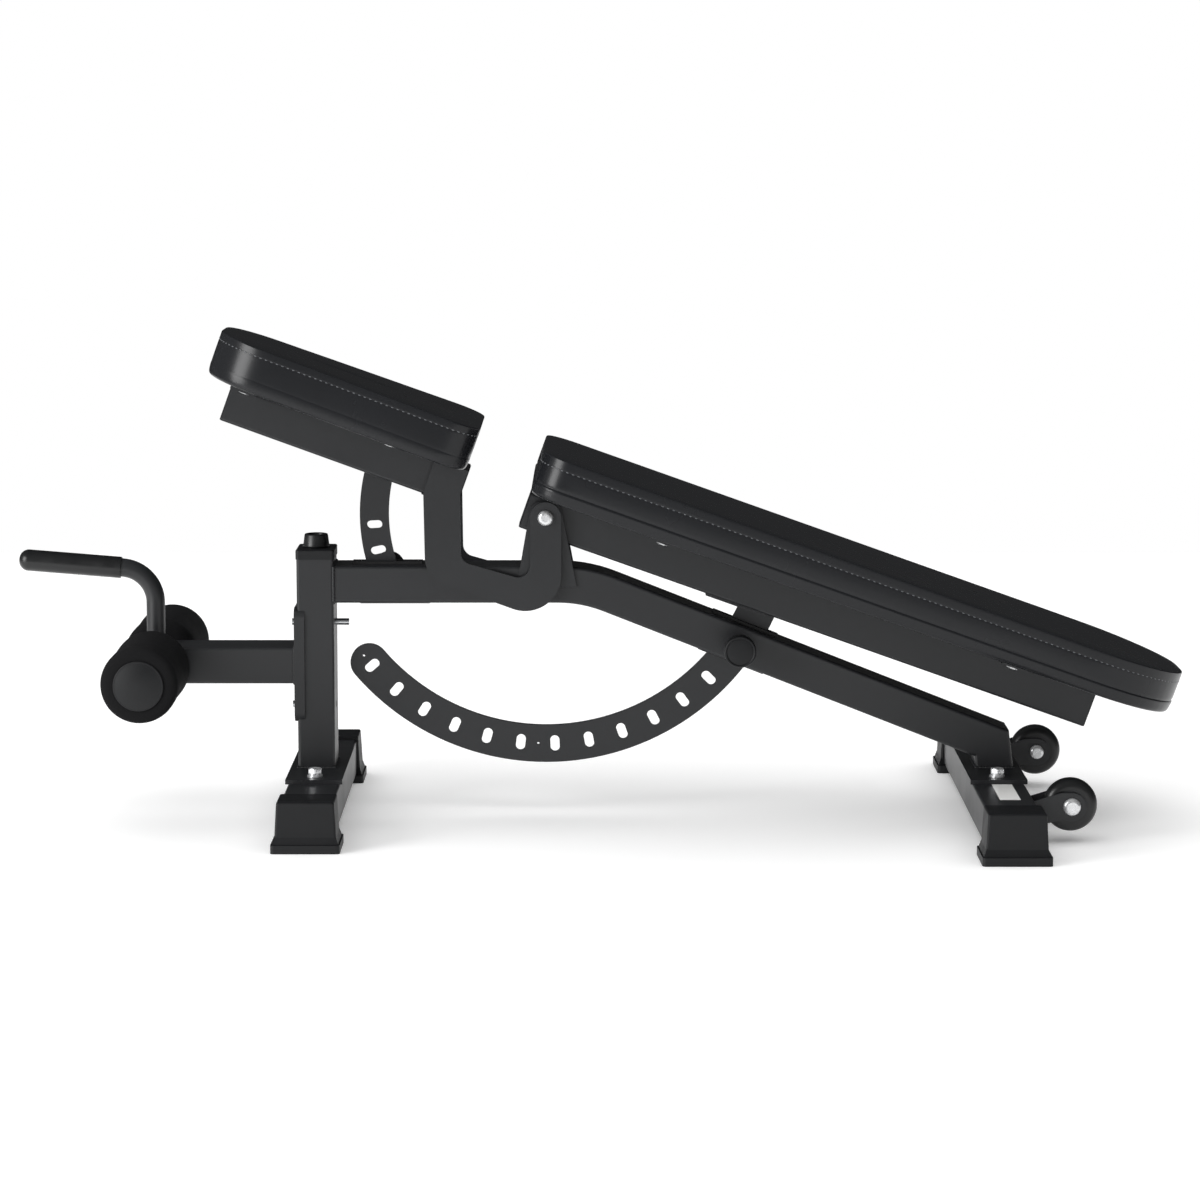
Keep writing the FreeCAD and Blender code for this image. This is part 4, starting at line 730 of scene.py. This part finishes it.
# The seat's bumper, a rubber cup on top of the post.
bumper = [(0.01, 364.05), (17.4, 364.05), (18, 364.6), (18, 367), (17.3, 369.6), (16.1, 379), (15.7, 381.2),
          (14.9, 382.1), (13.8, 382.35), (12.8, 382), (12.1, 380.8), (11.6, 376.6), (10.8, 375.8),
          (0.01, 375.6)]
stop = lathe_z("bumper_cup", bumper, Matrix.Translation(Vector((-383.5, 0, 0)) * MM), RUBBER, 72)
soften(stop, 60)
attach(stop, "frame")
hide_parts("seat_bumper")

hex_heads("base_hex_bolts", "frame", "base_bolts",
          [(x, y, 71.5) for x in (-381, 531) for y in (-99, 99)], 17, 7, 5, -26, ZINC)

# Welds where tubes and plates meet; TOP is the height of the base plates' upper faces.
TOP = 67
weld("post_welds", "frame", [
    [(-408.5, -35, TOP), (-358.5, -35, TOP)], [(-408.5, 35, TOP), (-358.5, 35, TOP)],
    [(-358.5, -33, TOP), (-358.5, 33, TOP)], [(-408.5, -33, TOP), (-408.5, 33, TOP)],
    [(-358.5, -35, 294), (-358.5, -35, 340)], [(-358.5, 35, 294), (-358.5, 35, 340)],
    [(-358.5, -30, 342), (-358.5, 30, 342)], [(-358.5, -30, 292), (-358.5, 30, 292)]])
weld("leg_welds", "frame", [
    [(509.2, -35, TOP), (559.5, -35, TOP)], [(509.2, 35, TOP), (559.5, 35, TOP)],
    [(559.6, -31, TOP), (559.6, 31, TOP)], [(509.2, -31, TOP), (509.2, 31, TOP)]])
weld("hinge_plate_welds", "frame", [
    [(-111, side * 35.5, 315.2), (-33, side * 35.5, 315.2)] for side in (-1, 1)], 1.6)
weld("holder_arm_welds", "leg_holder", [
    [(-412.5, side * 35, 184), (-412.5, side * 35, 230)] for side in (-1, 1)]
    + [[(-412.5, -31, level), (-412.5, 31, level)] for level in (182, 232)])
weld("seat_arm_welds", "seat", [
    [to_row(SEAT_TILT) @ (Vector((x, side * 40.3, -26)) * MM) / MM for x in (-166, -119)]
    for side in (-1, 1)], 1.5)
weld("back_plate_welds", "backrest", [
    [to_row(BACK_TILT) @ (Vector((x, side * 26, -26.2)) * MM) / MM for x in (241, 323)]
    for side in (-1, 1)], 1.5)

# ------------------------------------------------------------------ floor, light and camera

floor_mesh = bpy.data.meshes.new("floor")
floor_shape = bmesh.new()
bmesh.ops.create_grid(floor_shape, x_segments=4, y_segments=4, size=2.8)
floor_shape.to_mesh(floor_mesh)
floor_shape.free()
floor_paint = start_material("pale_studio_floor", "#FFFFFF", 0.8, Emission_Color=(1, 1, 1, 1),
                             Emission_Strength=0.14)
floor = new_piece("floor", floor_mesh, floor_paint[0])

world = bpy.data.worlds.new("studio")
scene.world = world
world.use_nodes = True
scene.view_settings.view_transform = "Standard"
sky = world.node_tree
sky.nodes["Background"].inputs["Color"].default_value = (1, 1, 1, 1)
# The room is brighter before the bench than behind it, and plain white where it is seen directly.
toward = add(sky, "ShaderNodeTexCoord")
facing = add(sky, "ShaderNodeVectorMath", {"operation": "DOT_PRODUCT"})
facing.inputs[1].default_value = (0.55, 0.83, 0)
sky.links.new(toward.outputs["Generated"], facing.inputs[0])
fade = add(sky, "ShaderNodeMapRange", {"From Min": -0.6, "From Max": 0.5, "To Min": 0.27, "To Max": 0.035},
           Value=facing.outputs["Value"])
sky.links.new(fade.outputs["Result"], sky.nodes["Background"].inputs["Strength"])
backdrop = add(sky, "ShaderNodeBackground", {"Color": (1, 1, 1, 1), "Strength": 1.0})
ray = add(sky, "ShaderNodeLightPath")
choice = add(sky, "ShaderNodeMixShader")
sky.links.new(ray.outputs["Is Camera Ray"], choice.inputs[0])
sky.links.new(sky.nodes["Background"].outputs[0], choice.inputs[1])
sky.links.new(backdrop.outputs[0], choice.inputs[2])
sky.links.new(choice.outputs[0], sky.nodes["World Output"].inputs["Surface"])


lamp = bpy.data.lights.new("left_softbox", "AREA")
lamp.shape = "RECTANGLE"
lamp.size = 2.2
lamp.size_y = 2.6
lamp.energy = 150
softbox = bpy.data.objects.new("left_softbox", lamp)
softbox.location = (-3.9, -2.6, 1.5)
aim_point = Vector((-0.4, 0, 0.5))
softbox.rotation_euler = (aim_point - softbox.location).to_track_quat("-Z", "Y").to_euler()
scene.collection.objects.link(softbox)

dome = bpy.data.lights.new("overhead_dome", "SUN")
dome.energy = 2.6
dome.angle = math.radians(110)
overhead = bpy.data.objects.new("overhead_dome", dome)
overhead.visible_glossy = False
overhead.rotation_euler = (math.radians(-12), 0, 0)
scene.collection.objects.link(overhead)

lens = bpy.data.cameras.new("camera")
lens.lens = 113.04
lens.sensor_width = 36
lens.clip_end = 200
camera = bpy.data.objects.new("camera", lens)
camera.location = (0, -5.0568, 0.996)
camera.rotation_euler = (math.radians(82.068), 0, 0)
scene.collection.objects.link(camera)
scene.camera = camera
